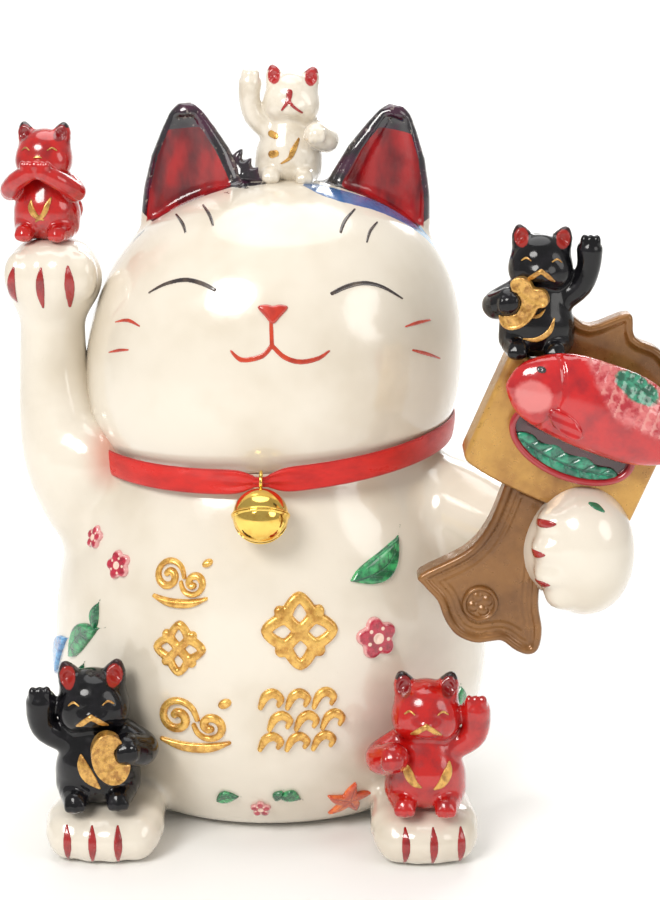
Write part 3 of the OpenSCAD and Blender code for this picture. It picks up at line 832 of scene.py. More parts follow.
def head_glaze():
    """The ivory glaze with the black and blue fur patches, dark ears and their red hollows."""
    paint = Paint("painted_head_glaze", Coat_Weight=1.0, Coat_Roughness=0.11, Coat_IOR=1.5)
    pooled = paint.remap(paint.noise(22.0, 3, 0.5), 0.38, 0.78)
    tone = paint.mix(pooled, IVORY, WARM)
    blue = paint.mix(paint.mask("pale", 1.5, 1.0, 3.0), (0.06, 0.17, 0.40), (0.24, 0.50, 0.78))
    streaks = paint.remap(paint.noise(1.2, 4, 0.6, (1, 1, 0.3)), 0.45, 0.6)
    blue = paint.mix(paint.math("MULTIPLY", streaks, 0.4), blue, (0.03, 0.09, 0.26))
    tone = paint.mix(paint.mask("blue", 0.12, 0.6, 3.0), tone, blue)
    tone = paint.mix(paint.mask("fur", 0.1, 0.5, 1.0), tone, BLACK)
    speckle = paint.remap(paint.noise(1.3, 3, 0.6), 0.60, 0.66)
    dark = paint.mix(paint.remap(paint.noise(5.0, 3), 0.4, 0.65), BLACK, PLUM)
    dark = paint.mix(paint.math("MULTIPLY", speckle, 0.55), dark, (0.35, 0.30, 0.27))
    tone = paint.mix(paint.mask("ear", 0.15, 0.35, 2.0), tone, dark)
    pool = paint.remap(paint.noise(7.0, 3, 0.5, (1, 1, 0.45)), 0.36, 0.66)
    red = paint.mix(pool, (0.40, 0.006, 0.008), (0.10, 0.002, 0.006))
    paint.set("Coat Weight", paint.remap(paint.mask("hollow", 0.4), 0, 1, 1.0, 0.4))
    tone = paint.mix(paint.mask("hollow", 0.15, 0.2, 2.0), tone, red)
    paint.set("Base Color", tone)
    paint.set("Roughness", paint.remap(paint.noise(4.0, 3), 0.3, 0.7, 0.11, 0.24))
    flow = paint.bump(paint.noise(7.0, 2, 0.4), 0.12)
    paint.bump(paint.noise(1.1, 2, 0.5), 0.02, 1.0, flow)
    return paint.material


head_masks = {"fur": fur_strokes.at, "blue": blue_strokes.at, "pale": pale_tip.at,
              "ear": on_each_ear(ear_outside), "hollow": on_each_ear(inner_ear)}
make_piece("glazed_head", [surface(glazed_head, 0.76, **head_masks)], "figure", [head_glaze()],
           ("head_shell", "right_ear", "left_ear"))

# A dark wedge of fur between the left-hand ear and the crown, with short spikes on its upper edge
tufts = Joined(*[(limb(stations, 3), 1.0) for stations in (
    [(-8.5, 0.8, 158.6, 1.8), (-6.8, 0.2, 157.6, 2.1), (-4.2, -0.6, 156.2, 1.7), (-1.2, -1.8, 155.2, 0.6)],
    [(-8.6, 0.2, 156.0, 1.8), (-6.5, -0.8, 155.6, 1.8), (-3.5, -1.6, 155.2, 1.2), (-1.4, -2.2, 155.0, 0.5)],
    [(-7.8, 0.6, 159.2, 1.4), (-6.8, 0.4, 160.9, 0.9), (-6.2, 0.3, 161.9, 0.35)],
    [(-5.6, 0.0, 157.8, 1.4), (-4.6, -0.2, 159.0, 0.8), (-4.0, -0.3, 159.8, 0.35)],
    [(-3.4, -0.8, 156.4, 1.1), (-2.5, -1.0, 157.2, 0.7), (-1.9, -1.2, 157.8, 0.3)])])
make_piece("fur_tufts", [surface(Cut(tufts, (grown(head_egg, -2), 0)), 0.3)], "figure",
           [glazed("fur_tuft_glaze", BLACK, PLUM, cloud=4.0)])

# ---------------------------------------------------------------- the painted face

PAINT_HEIGHT = 0.16       # how far a painted line stands out


def brushed(name, colour, shade):
    return glazed(name, colour, shade, roughness=0.2, ripple=0.01, cloud=2.5)


def face_mark(x, v, strokes, half_u, half_v):
    """Painted strokes on the face, which the camera sees at x, v."""
    return relief(in_front(head_and_ears, x, v), flat_strokes(strokes), half_u, half_v, PAINT_HEIGHT, 0.18,
                  0.08, 0.4, 7.0)


ink = brushed("black_line_paint", (0.03, 0.02, 0.02), (0.10, 0.07, 0.05))
vermilion = brushed("vermilion_paint", (0.56, 0.045, 0.010), (0.36, 0.022, 0.007))
fine_ink = [
    face_mark(-18.2, 122.8, [[(-8.6, -1.1, 0.22), (-4.7, 0.7, 0.42), (0, 1.5, 0.52), (4.3, 0.4, 0.54),
                              (8.4, -1.9, 0.34)]], 10, 4),
    face_mark(23.2, 122.2, [[(-8.4, -1.7, 0.42), (-4.3, 0.4, 0.56), (-0.2, 1.3, 0.5), (4.0, 0.5, 0.42),
                             (8.5, -1.9, 0.22)]], 10, 4),
    face_mark(-19.6, 138.0, [[(-1.7, 3.0, 0.26), (0.3, 0, 0.42), (1.3, -2.9, 0.22)]], 3, 4.5),
    face_mark(-13.2, 139.6, [[(-1.6, 3.3, 0.26), (0.3, 0.2, 0.42), (1.5, -3.4, 0.22)]], 3, 4.8),
    face_mark(19.0, 138.3, [[(1.8, 3.3, 0.24), (-0.6, 0, 0.44), (-1.7, -3.4, 0.3)]], 3, 4.8),
    face_mark(24.8, 136.0, [[(1.2, 2.5, 0.24), (-0.5, 0.1, 0.38), (-1.3, -2.7, 0.22)]], 3, 4)]
make_piece("closed_eyes_and_brow_strokes", fine_ink, "figure", [ink])
whiskers = [
    face_mark(-32.0, 115.1, [[(-3.2, 0.2, 0.18), (0, 0.4, 0.46), (3.0, -1.1, 0.22)]], 4.5, 2.5),
    face_mark(-34.2, 108.4, [[(-2.6, -0.1, 0.2), (0, 0.2, 0.4), (2.4, 0.2, 0.2)]], 4, 2),
    face_mark(35.4, 114.8, [[(-3.0, -1.0, 0.2), (0, 0.1, 0.44), (3.0, 0.9, 0.22)]], 4.5, 2.5),
    face_mark(37.1, 107.7, [[(-3.7, 0.9, 0.2), (0, 0.2, 0.44), (3.8, -0.8, 0.2)]], 5, 2.5)]
mouth = [face_mark(2.0, 109.0, [
    [(-0.3, 6.0, 0.45), (-0.2, 2.5, 0.48), (-0.1, 0, 0.52)],
    [(-0.1, 0, 0.5), (-2.3, -2.4, 0.56), (-6.2, -3.3, 0.58), (-8.0, -2.7, 0.5), (-9.4, -1.2, 0.26)],
    [(-0.1, 0, 0.5), (2.6, -2.6, 0.56), (6.2, -3.7, 0.58), (10.3, -2.9, 0.5), (12.8, -1.2, 0.26)]], 14, 7.5)]
make_piece("mouth_and_whiskers", mouth + whiskers, "figure", [vermilion])
nose_shape = flat_outline([(-3.5, 1.7), (-1.6, 2.3), (0.1, 2.0), (1.8, 2.3), (3.5, 1.6), (1.9, -0.4), (0, -2.2),
                           (-2.0, -0.3)], 4)
nose = relief(in_front(head_and_ears, 2.1, 116.0), nose_shape, 4.5, 3.5, 0.7, 0.2, 0.9, 0.5, 4.0)
nose_red = brushed("nose_paint", (0.54, 0.028, 0.008), (0.36, 0.014, 0.006))
make_piece("nose", [nose], "figure", [nose_red])

# ---------------------------------------------------------------- claws

claw_red = brushed("claw_red_paint", (0.36, 0.008, 0.008), (0.20, 0.003, 0.005))
PAW_CLAWS = [(-60.2, 124.0, 8.6, 0.95, -0.7), (-53.2, 123.6, 8.8, 0.95, -0.3), (-46.4, 124.0, 9.0, 1.05, 0.3)]
FOOT_CLAWS = [(right_foot, RIGHT_FOOT, 6.0, -1.4), (left_foot, LEFT_FOOT, 6.5, 1.2)]   # spacing, shift


def dab(facing, shape, half_u, half_v, step=0.22):
    """One brush mark on a paw."""
    return relief(facing, shape, half_u, half_v, PAINT_HEIGHT, step, 0.1, 0.4, 4.0)


claws = [dab(in_front(raised_limb, x, v), spindle(length, half, bend), 2.4, 6)
         for x, v, length, half, bend in PAW_CLAWS]
for base, (x, y, width, turn), spread, shift in FOOT_CLAWS:
    v = -VIEW[1] * 6.2 + VIEW[2] * (y + 1)
    claws += [dab(in_front(base, x + i * spread + shift, v, y + 5), spindle(8.4, 0.9, 0.2), 2, 6)
              for i in (-1, 0, 1)]
holding_skin = Joined((holding_paw, 0), *holding_toes)
for x, z in ((61.8, 84.6), (60.0, 77.6), (61.2, 70.6)):
    dash = flat_outline([(-3.0, 0.9), (0.5, 0.9), (2.6, 0), (0.5, -0.8), (-3.0, -0.6)], 3)
    place = Facing(holding_skin, (x, -56, z), (1, -0.5, 0.12), (-0.75, -1.1, 0.1))
    claws.append(dab(place, dash, 4, 2, 0.2))
make_piece("claws", claws, "figure", [claw_red])
green_dab = flat_stroke([(-1.5, 0.9, 0.35), (0, 0.2, 0.75), (1.6, -0.9, 0.3)])
make_piece("green_paw_mark", [dab(in_front(holding_skin, 74.4, 72.6), green_dab, 3, 2, 0.2)], "figure",
           [brushed("paw_green", (0.02, 0.20, 0.09), (0.01, 0.10, 0.05))])

# ---------------------------------------------------------------- belly relief

skin = Joined((torso_outside, 0), (left_foot, 3.5), (right_foot, 3.5))
RELIEF = 1.0              # how far the belly's ornaments stand out


def curl(r, turns, half, start=0.0):
    """A spiral stroke that winds in from its outer end."""
    steps = math.ceil(turns * 12)
    points = []
    for i in range(steps + 1):
        share = i / steps
        a = math.radians(start) + 2 * math.pi * turns * share
        d = r * (1 - 0.8 * share)
        points.append((d * math.cos(a), d * math.sin(a), half * (0.55 + 0.9 * share * (1.4 - share))))
    return flat_stroke(points, 2)


def cloud_motif():
    return flat_union(flat_turned(curl(3.9, 1.35, 0.85), move=(-2.7, 0.6)),
                      flat_turned(curl(3.1, 1.25, 0.8, 180), move=(3.6, -0.6)),
                      flat_stroke([(-6.2, -4.2, 0.4), (-2, -5.3, 0.95), (3, -5.2, 0.95), (6.8, -4.0, 0.4)]),
                      flat_oval((6.4, 3.9), 1.2, 0.9, 20))


def knot_motif():
    loops = [flat_turned(flat_stroke([(0.4, 0, 0.7), (2.4, 1.9, 0.85), (5.0, 0, 0.8), (2.4, -1.9, 0.85),
                                      (0.4, 0, 0.7)]), a) for a in (0, 90, 180, 270)]
    beads = [flat_oval((4.1 * math.cos(a), 4.1 * math.sin(a)), 0.9, 0.9) for a in
             [math.radians(45 + 90 * i) for i in range(4)]]
    return flat_union(*loops, *beads, flat_oval((0, 0), 1.1, 1.1), k=0.4)


def wave_motif():
    rows = []
    for row, y in enumerate((-4.2, 0, 4.2)):
        shift = 1.6 * (row % 2) - 0.8
        for x in (-4.6, 0.2, 5.0):
            top = x + shift
            rows.append(flat_stroke([(top - 2.3, y - 1.2, 0.45), (top - 1.4, y + 0.9, 0.8), (top, y + 1.6, 0.85),
                                     (top + 1.3, y + 0.6, 0.7), (top + 0.9, y - 0.7, 0.4)], 3))
    return flat_union(*rows, k=0.3)


def gold_part(bearing, z, motif, size):
    shape = flat_turned(motif, scale=size)
    return relief(on_side(skin, bearing, z, -8), shape, 8.6 * size, 7.4 * size, RELIEF, 0.22, 0.9, 0.5, 4.5)


belly_gold = gilded("fired_gold", (0.86, 0.52, 0.12), (0.52, 0.24, 0.035), 0.3, 0.55, 2.0)
GOLD_COLUMNS = {
    "gold_relief_right": [(-27, 66.6, cloud_motif(), 1.0), (-26, 50.4, knot_motif(), 1.12),
                          (-22.5, 32.6, cloud_motif(), 1.28)],
    "gold_relief_left": [(10.4, 55.4, knot_motif(), 1.55), (11.2, 33, wave_motif(), 1.3)]}
for column, motifs in GOLD_COLUMNS.items():
    make_piece(f"{column}_column", [gold_part(*motif) for motif in motifs], "figure", [belly_gold],
               (column,))


def blossom(r):
    petals = [flat_oval((r * 0.56 * math.cos(a), r * 0.56 * math.sin(a)), r * 0.44, r * 0.40, math.degrees(a))
              for a in [math.radians(18 + 72 * i) for i in range(5)]]
    return flat_union(*petals, k=0.25 * r)


def blossom_part(bearing, z, r, turn=0.0):
    shape = blossom(r)
    heart = flat_oval((0, 0), r * 0.26, r * 0.26)
    dots = flat_union(*[flat_oval((r * 0.5 * math.cos(a), r * 0.5 * math.sin(a)), r * 0.09, r * 0.09) for a in
                        [math.radians(54 + 72 * i) for i in range(5)]])
    # The rim mask is a band along the petals' edge: its pale pink is partly the enamel's paler edge, partly a
    # painted highlight on the raised edge
    return relief(on_side(skin, bearing, z, 0, turn), shape, r * 1.15, r * 1.15, RELIEF, 0.2, 0.8, 0.5, 3.5,
                  heart=flat_union(heart, dots), rim=lambda u, v: -shape(u, v) - 0.35)


def petal_enamel():
    paint = Paint("crimson_petals", Coat_Weight=1.0, Coat_Roughness=0.04)
    tone = paint.mix(paint.remap(paint.noise(1.6, 4, 0.6), 0.4, 0.7), (0.50, 0.012, 0.045), (0.26, 0.004, 0.02))
    # Pale pink along the petals' edges: partly the enamel's paler edge, partly a painted highlight on the raised
    # edge
    rim = paint.mask("rim", 0.2, 0.25, 0.8)
    tone = paint.mix(paint.math("MULTIPLY", rim, 0.75), tone, (0.80, 0.42, 0.40))
    tone = paint.mix(paint.mask("heart", 0.1, 0.12, 0.5), tone, (0.85, 0.62, 0.50))
    paint.set("Base Color", tone)
    paint.set("Roughness", paint.remap(paint.noise(1.0, 3), 0.3, 0.7, 0.14, 0.30))
    paint.bump(paint.noise(0.8, 3), 0.06)
    return paint.material


make_piece("plum_blossoms", [blossom_part(33.6, 52.2, 5.1, 8), blossom_part(-48.5, 67.5, 3.5, 20),
                             blossom_part(-61, 72, 2.8), blossom_part(-2.5, 8, 2.6)],
           "figure", [petal_enamel()], ("crimson_flowers",))


def leaf_shape(length, width, curve=0.12):
    """A pointed leaf along u, and its midrib and side veins."""
    n = 8
    top, low = [], []
    for i in range(n + 1):
        t = i / n
        mid = curve * length * math.sin(math.pi * t)
        half = width / 2 * math.sin(math.pi * min(t * 1.15, 1)) ** 0.8 * (1 - 0.35 * t) + 0.08
        top.append((length * (t - 0.5), mid + half))
        low.append((length * (t - 0.5), mid - half))
    outline = flat_outline(top + low[::-1], 2)
    rib = [(length * (t - 0.5), curve * length * math.sin(math.pi * t), 0.16 * (1.3 - t)) for t in
           [0.02, 0.25, 0.5, 0.75, 0.97]]
    veins = [flat_stroke(rib)]
    for t in (0.2, 0.36, 0.52, 0.68):
        x = length * (t - 0.5)
        y = curve * length * math.sin(math.pi * t)
        for way in (-1, 1):
            veins.append(flat_stroke([(x, y, 0.10), (x + width * 0.34, y + way * width * 0.36, 0.06)]))
    return outline, flat_union(*veins)


def leaf_part(bearing, z, turn, length, width, curve=0.12):
    outline, veins = leaf_shape(length, width, curve)
    return relief(on_side(skin, bearing, z, 0, turn), outline, length / 2 + 0.6, width * 0.5 + length * 0.18,
                  RELIEF, 0.22, 0.9, 0.5, 5.5, veins=veins)


def leaf_enamel(name, light, dark, vein):
    paint = Paint(name, Coat_Weight=1.0, Coat_Roughness=0.04)
    tone = paint.mix(paint.remap(paint.noise(2.6, 4, 0.6), 0.40, 0.66), dark, light)
    tone = paint.mix(paint.math("MULTIPLY", paint.mask("veins", 0.16, 0.05, 1.0), 0.8), tone, vein)
    paint.set("Base Color", tone)
    paint.set("Roughness", paint.remap(paint.noise(1.2, 3), 0.3, 0.7, 0.12, 0.28))
    groove = paint.bump(paint.math("MULTIPLY", paint.mask("veins", 0.2), -1.0), 0.12)
    paint.bump(paint.noise(1.0, 3), 0.04, 1.0, groove)
    return paint.material


green = leaf_enamel("green_leaf_enamel", (0.05, 0.42, 0.14), (0.008, 0.11, 0.045), (0.005, 0.05, 0.03))
GREEN_LEAVES = [(36.5, 71.6, 36, 18.5, 7.4, -0.16), (65, 31.8, 110, 6.5, 4.2), (69, 27.2, 120, 6, 4.0),
                (61, 29.5, 170, 5.4, 3.4), (-59, 46.5, 38, 18, 7), (-54.5, 54.5, 82, 7.5, 3.4),
                (-60, 37.5, 78, 9, 4.0), (-13.5, 11, 15, 7, 4.2), (8.5, 11.5, -15, 6.2, 4.2),
                (4.4, 12.6, 60, 4.2, 2.8)]
make_piece("green_leaves", [leaf_part(*leaf) for leaf in GREEN_LEAVES], "figure", [green],
           ("green_leaves",))
blue = leaf_enamel("blue_leaf_enamel", (0.10, 0.42, 0.78), (0.02, 0.16, 0.45), (0.01, 0.07, 0.25))
make_piece("blue_leaf", [leaf_part(-74, 39, 44, 21, 6.4)], "figure", [blue], ("blue_leaf",))
STAR_RAYS = (20, 90, 160, 235, 305)


def star_leaf():
    """A leaf of five pointed lobes, and the rib along each."""
    ray = flat_stroke([(0, 0, 1.7), (3.0, 0.4, 1.45), (6.0, 0, 0.3)])
    rib = flat_stroke([(0.3, 0, 0.16), (5.2, 0.1, 0.07)])
    return (flat_union(*[flat_turned(ray, a) for a in STAR_RAYS], k=0.5),
            flat_union(*[flat_turned(rib, a) for a in STAR_RAYS]))


star_outline, star_ribs = star_leaf()
star = relief(on_side(torso_outside, 30, 9.2, -20), star_outline, 7, 7, RELIEF, 0.22, 0.8, 0.5, 5.0,
              veins=star_ribs)
orange = leaf_enamel("orange_leaf_enamel", (0.85, 0.20, 0.04), (0.62, 0.07, 0.02), (0.35, 0.02, 0.01))
make_piece("orange_leaf", [star], "figure", [orange], ("orange_leaf",))


# ---------------------------------------------------------------- kittens

KITTEN = 28.0             # a kitten's height in its own units
KITTEN_FRONT = -12.0      # in front of every kitten
LIMB_POSES = {
    "raised": [(5.3, 0, 12.6, 2.7), (8.6, -0.4, 15.6, 2.6), (10, -0.8, 19.6, 2.5), (10, -1.2, 23.2, 2.75)],
    "halfway": [(5.3, 0, 12.6, 2.8), (8.8, -0.4, 14.8, 2.7), (9.8, -0.8, 17.4, 2.7), (9.6, -1.2, 20.4, 2.9)],
    "bent": [(5.0, 0, 13.4, 2.8), (8.6, -1.8, 11.2, 3.0), (8.4, -4.2, 11.2, 3.0), (6.4, -6.2, 12.4, 3.1)],
    "clasped": [(5.8, 0.4, 13.2, 2.5), (8.0, -2.6, 11.8, 2.4), (5.4, -6.0, 14.4, 2.3), (1.6, -7.8, 16.8, 2.1)]}


def mirrored(stations, side):
    return [(side * x, y, z, r) for x, y, z, r in stations]


def kitten_solid(arms):
    parts = [(ball((0, 0.6, 5.6), (8.0, 6.5, 6.0)), 0), (ball((0, 0.2, 8.4), (7.2, 6.1, 5.6)), 2),
             (ball((0, 0.8, 12.6), (6.5, 5.1, 4.8)), 2), (ball((0, -0.1, 20.2), (6.5, 6.0, 6.1)), 1.2),
             (ball((-3.3, -1.3, 18.4), (3.3, 4.0, 3.6)), 1.5), (ball((3.3, -1.3, 18.4), (3.3, 4.0, 3.6)), 1.5),
             (ball((0, -5.4, 18.2), (2.5, 1.4, 1.7)), 1.4), (ball((0, -6.6, 19.0), (0.75, 0.5, 0.5)), 0.5)]
    for side in (-1, 1):
        blade = limb([(side * 3.6, 0.3, 23.2, 2.6), (side * 4.3, 0.3, 25.2, 2.1), (side * 4.8, 0.3, 26.8, 1.1)], 2)
        scoop = ball((side * 4.4, -2.2, 25.3), (1.35, 1.4, 1.8))
        parts.append((Cut(blade, (scoop, 0.4)), 0.8))
        leg = limb([(side * 4.6, -0.4, 3.4, 3.3), (side * 4.3, -3.4, 2.4, 2.6), (side * 4.0, -5.6, 2.1, 2.3)], 2)
        parts.append((leg, 1.0))
        parts += [(ball((side * 4.0 + toe * 1.25, -7.3 + 0.3 * abs(toe), 1.7), (0.8, 0.9, 1.1)), 0.5)
                  for toe in (-1, 0, 1)]
    for side, pose in arms:
        stations = mirrored(LIMB_POSES[pose], side)
        parts.append((limb(stations, 3), 0.9))
        x, y, z, r = stations[-1]
        back, lift, slope = (0.75, 0.0, 0.2) if pose == "bent" else (0.45, 0.75, 0.0)
        toe_radii = (0.85, 0.95, 0.5 + 0.35 * r)
        parts += [(ball((x + toe * 1.3, y - r * back, z + r * lift + toe * slope), toe_radii), 0.5)
                  for toe in (-1, 0, 1)]
    tail = limb([(0, 6, 3, 1.9), (3.4, 7.6, 3.6, 1.8), (5.6, 6.8, 6.4, 1.6), (5.0, 5.9, 9.0, 1.3)], 3)
    parts.append((tail, 1.0))
    whole = Met((Joined(*parts), 0), (ground, 0.5))
    whole.low, whole.high = np.array((-13.2, -10.4, 0.0)), np.array((13.2, 10.4, 28.4))
    return whole


def ear_hollows(x, y, z):
    flat = np.hypot(np.abs(x) - 4.4, (z - 25.4) * 0.8) - 1.5
    return np.maximum(flat, y + 0.1)


def ear_tips(x, y, z):
    return 26.5 - z + np.where(np.abs(x) > 7.6, FAR, 0)


def kitten_enamel(name, colour, shade, hollow, tip, shine=1.0):
    paint = Paint(name, Coat_Weight=shine, Coat_Roughness=0.05, Coat_IOR=1.45, Specular_IOR_Level=0.5 * shine)
    tone = paint.mix(paint.remap(paint.noise(4.0, 4, 0.6), 0.40, 0.72), colour, shade)
    tone = paint.mix(paint.mask("tips", 0.2, 0.5, 1.2), tone, tip)
    tone = paint.mix(paint.mask("hollows", 0.15, 0.2, 0.8), tone, hollow)
    paint.set("Base Color", tone)
    paint.set("Roughness", paint.remap(paint.noise(2.0, 3), 0.3, 0.7, 0.10, 0.26))
    flow = paint.bump(paint.noise(3.0, 2, 0.4), 0.10)
    paint.bump(paint.noise(0.7, 3), 0.02, 1.0, flow)
    return paint.material


BLACK_ENAMEL = ((0.004, 0.004, 0.005), (0.010, 0.009, 0.012))
RED_ENAMEL = ((0.50, 0.007, 0.005), (0.30, 0.003, 0.005))
WHITE_ENAMEL = (IVORY, WARM)


def placed_kitten(at, height, turns):
    place = Matrix.Translation(at)
    for axis, angle in turns:
        place = place @ Matrix.Rotation(math.radians(angle), 4, axis)
    return place @ Matrix.Scale(height / KITTEN, 4)


def kitten(name, place, arms, enamel, step=0.3):
    """A kitten's body, with the red hollows of its ears. Returns what painted_marks() needs."""
    solid = kitten_solid(arms)
    moved = Moved(solid, place)
    local = {"hollows": Moved(Solid(ear_hollows, solid.low, solid.high), place).at,
             "tips": Moved(Solid(ear_tips, solid.low, solid.high), place).at}
    make_piece(name, [surface(moved, step, **local)], "figure", [enamel], (name,))
    return moved, place


def kitten_mark(kitten_at, x, z, strokes, half, slope=0):
    """Painted strokes on a kitten's front, in its own units, about the point x, z."""
    moved, place = kitten_at
    size = place.to_scale()[0]
    turn = place.to_3x3().normalized()
    shape = flat_strokes([[(u * size, v * size, r * size) for u, v, r in points] for points in strokes])
    facing = Facing(moved, place @ Vector((x, KITTEN_FRONT, z)), turn @ Vector((1, 0, 0)),
                    turn @ Vector((slope, -1, 0)))
    return relief(facing, shape, half * size, half * size, 0.22, 0.14, 0.12, 0.3, 3.0)


kitten_gold = gilded("kitten_gold_paint", (0.74, 0.42, 0.10), (0.36, 0.16, 0.03), 0.30, 0.6, 1.4)
kitten_black = kitten_enamel("black_kitten_enamel", *BLACK_ENAMEL, (0.30, 0.02, 0.015), (0.03, 0.01, 0.012), 0.45)
kitten_red = kitten_enamel("red_kitten_enamel", *RED_ENAMEL, (0.22, 0.004, 0.006), (0.015, 0.006, 0.008))
kitten_white = kitten_enamel("white_kitten_glaze", *WHITE_ENAMEL, (0.42, 0.02, 0.02), (0.30, 0.012, 0.012))

MOUSTACHE = [[(0, 1.0, 0.5), (-1.0, 0.3, 0.5), (-2.0, -0.5, 0.5), (-2.9, -1.1, 0.2)],
             [(0, 1.0, 0.5), (1.0, 0.3, 0.5), (2.0, -0.5, 0.46), (2.9, -1.2, 0.2)]]
CLOSED_EYES = [[(-4.2, 0, 0.12), (-3.2, 0.65, 0.20), (-2.2, 0.1, 0.12)],
               [(4.2, 0, 0.12), (3.2, 0.65, 0.20), (2.2, 0.1, 0.12)]]
GOLD_FACE = [(0, 18.2, MOUSTACHE, 3.6), (0, 21.0, CLOSED_EYES, 5)]


def painted_marks(name, kitten_at, marks, material=kitten_gold):
    make_piece(name, [kitten_mark(kitten_at, *mark) for mark in marks], "figure", [material])


# On the raised paw: red, both arms crossed over its mouth
paw_kitten = kitten("kitten_on_paw", placed_kitten((-52.6, -4.6, 141.2), 28, [("Z", -8)]),
                    [(-1, "clasped"), (1, "clasped")], kitten_red)
painted_marks("paw_kitten_gold_marks", paw_kitten, [
    (0, 21.6, CLOSED_EYES, 5, 0), (0, 20.0, [[(-0.9, 0, 0.14), (0, 0.3, 0.3), (0.9, 0, 0.14)]], 1.8, 0),
    (-2.6, 7.6, [[(-1.4, 2.4, 0.2), (-1.3, 0.6, 0.75), (-0.2, -1.2, 0.7), (1.6, -2.2, 0.2)]], 3.4, -0.3),
    (3.0, 7.2, [[(1.6, 3.4, 0.2), (0.6, 1.6, 0.6), (-0.4, -0.6, 0.6), (-2.2, -2.2, 0.2)]], 4.2, 0.3)])

# On the head: white, one arm up and the other bent
head_kitten = kitten("kitten_on_head", placed_kitten((4.8, 1.5, 153.9), 28, [("Y", 3)]),
                     [(-1, "raised"), (1, "bent")], kitten_white)
painted_marks("head_kitten_red_marks", head_kitten, [
    (-0.2, 19.4, [[(-0.3, 2.6, 0.75), (-0.4, 1.2, 0.65), (-1.0, -0.2, 0.4), (-1.9, -1.6, 0.25)],
                  [(-0.4, 0.8, 0.4), (0.8, -0.6, 0.36), (2.9, -2.0, 0.26)]], 3.8, 0)],
           claw_red)
painted_marks("head_kitten_gold_marks", head_kitten, [
    (-3.9, 11.6, [[(-0.5, 0.3, 0.8), (0.5, -0.1, 0.75)]], 2, 0),
    (-3.6, 7.2, [[(-0.4, 0, 0.9), (0.5, 0.3, 0.8)]], 2, 0),
    (2.0, 8.2, [[(-2.4, -3.0, 0.2), (-0.6, -1.6, 0.45), (0.2, 0.2, 0.7), (1.6, 3.0, 0.25)]], 3.8, 0.2)])

# On the charm: black, with a gold fish-shaped coin under one paw
charm_kitten = kitten("kitten_on_charm", placed_kitten((61, -42.5, 120.4), 29.5, [("Y", 2), ("Z", -4)]),
                      [(1, "raised"), (-1, "bent")], kitten_black)
painted_marks("charm_kitten_gold_marks", charm_kitten, GOLD_FACE + [
    (2.6, 6.2, [[(-3.4, -1.6, 0.15), (-0.8, -1.6, 0.55), (1.6, 0.2, 0.6), (2.6, 3.0, 0.18)]], 4.2, 0.3),
    (0.8, 10.2, [[(-2.0, -1.0, 0.12), (0.4, -0.6, 0.36), (1.8, 0.8, 0.14)]], 3, 0.2)])

# On the right foot: black, with a gold coin pressed to its chest
right_kitten = kitten("kitten_on_right_foot", placed_kitten((-39.6, -41, 12.8), 35, [("Z", 2), ("Y", -2)]),
                      [(-1, "halfway"), (1, "bent")], kitten_black, 0.36)
painted_marks("right_foot_kitten_gold_marks", right_kitten, GOLD_FACE + [
    (-3.4, 7.8, [[(-1.5, 3.2, 0.3), (-1.0, 1.4, 1.05), (0.2, -0.8, 1.15), (1.8, -3.0, 0.25)]], 4.4, -0.35)])

# On the left foot: red, smiling crescents on its belly
left_kitten = kitten("kitten_on_left_foot", placed_kitten((37.4, -44, 12.6), 33.5, [("Z", -2)]),
                     [(-1, "bent"), (1, "halfway")], kitten_red, 0.36)
painted_marks("left_foot_kitten_gold_marks", left_kitten, GOLD_FACE + [
    (0, 8.4, [[(-4.1, 2.4, 0.25), (-3.4, 0.6, 0.95), (-2.3, -1.2, 0.75), (-0.9, -2.0, 0.2)],
              [(4.6, 2.4, 0.25), (4.2, 0.4, 0.95), (3.2, -1.4, 0.85), (1.8, -2.4, 0.25)]], 5.8, 0)])


def koban(place, lobes):
    """An oval gold coin with a raised rim and pressed bars."""
    def distance(x, y, z):
        oval = flat_oval((0, 0), 3.5, 5.1)(x, z)
        if lobes:
            oval = smooth_min(oval, flat_oval((-2.6, 4.2), 2.2, 1.6, 30)(x, z), 1.2)
            oval = smooth_min(oval, flat_oval((2.4, 4.6), 2.0, 1.5, -30)(x, z), 1.2)
        front = y + 3.0 + 0.35 * np.clip(1 + oval / 0.9, 0, 1)
        bars = 0.18 * np.cos(z * 2.6) * (np.abs(x) < 1.9) * (np.abs(z) < 3.2)
        return smooth_max(oval, np.maximum(-front - bars * 0.5, y), 0.5)

    shape = Solid(distance, (-5.5, -3.9, -5.6), (5.5, 0.3, 6.6))
    return Moved(shape, place)


foot_coin = koban(placed_kitten((-36.2, -48.0, 27), 35, [("Z", 10), ("Y", -14)]), False)
charm_coin = koban(placed_kitten((57, -47.6, 132.5), 29.5, [("Z", -14), ("Y", 36)]), True)
for name, coin, holder in (("koban_on_foot_kitten", foot_coin, right_kitten),
                           ("koban_on_charm_kitten", charm_coin, charm_kitten)):
    make_piece(name, [surface(Cut(coin, (holder[0], 0)), 0.2)], "figure", [kitten_gold], (name,))

# ---------------------------------------------------------------- the gilded charm

CHARM = Matrix.Translation((69, -42, 102.4)) @ Matrix.Rotation(math.radians(23), 4, "Y")
BLOCK_HALF = (20.5, 5.5, 13.0)
BLOCK_BOW = 3.0
HANDLE = [(-9.4, -12.6), (-8.6, -18.4), (-8.5, -27), (-10.8, -34.2), (-18, -43.1), (-16.2, -45.2),
          (-11.7, -47.4), (-8.4, -50.8), (-4.4, -53.2), (0.4, -53.2), (3.9, -51.3), (6, -50.4), (9.8, -51.3),
          (13, -51), (14.4, -48.8), (13.2, -44.2), (9.8, -38.6), (6.6, -29), (5.6, -20), (5.4, -12.6)]
CREST = [(-13, 12.6), (-15, 20), (-12, 25), (-6, 24.5), (1, 30.5), (4.5, 26), (11, 25.5), (17, 21), (15, 12.6)]
handle_outline = flat_outline(spline(HANDLE, 4))
crest_outline = flat_outline(spline(CREST, 4))


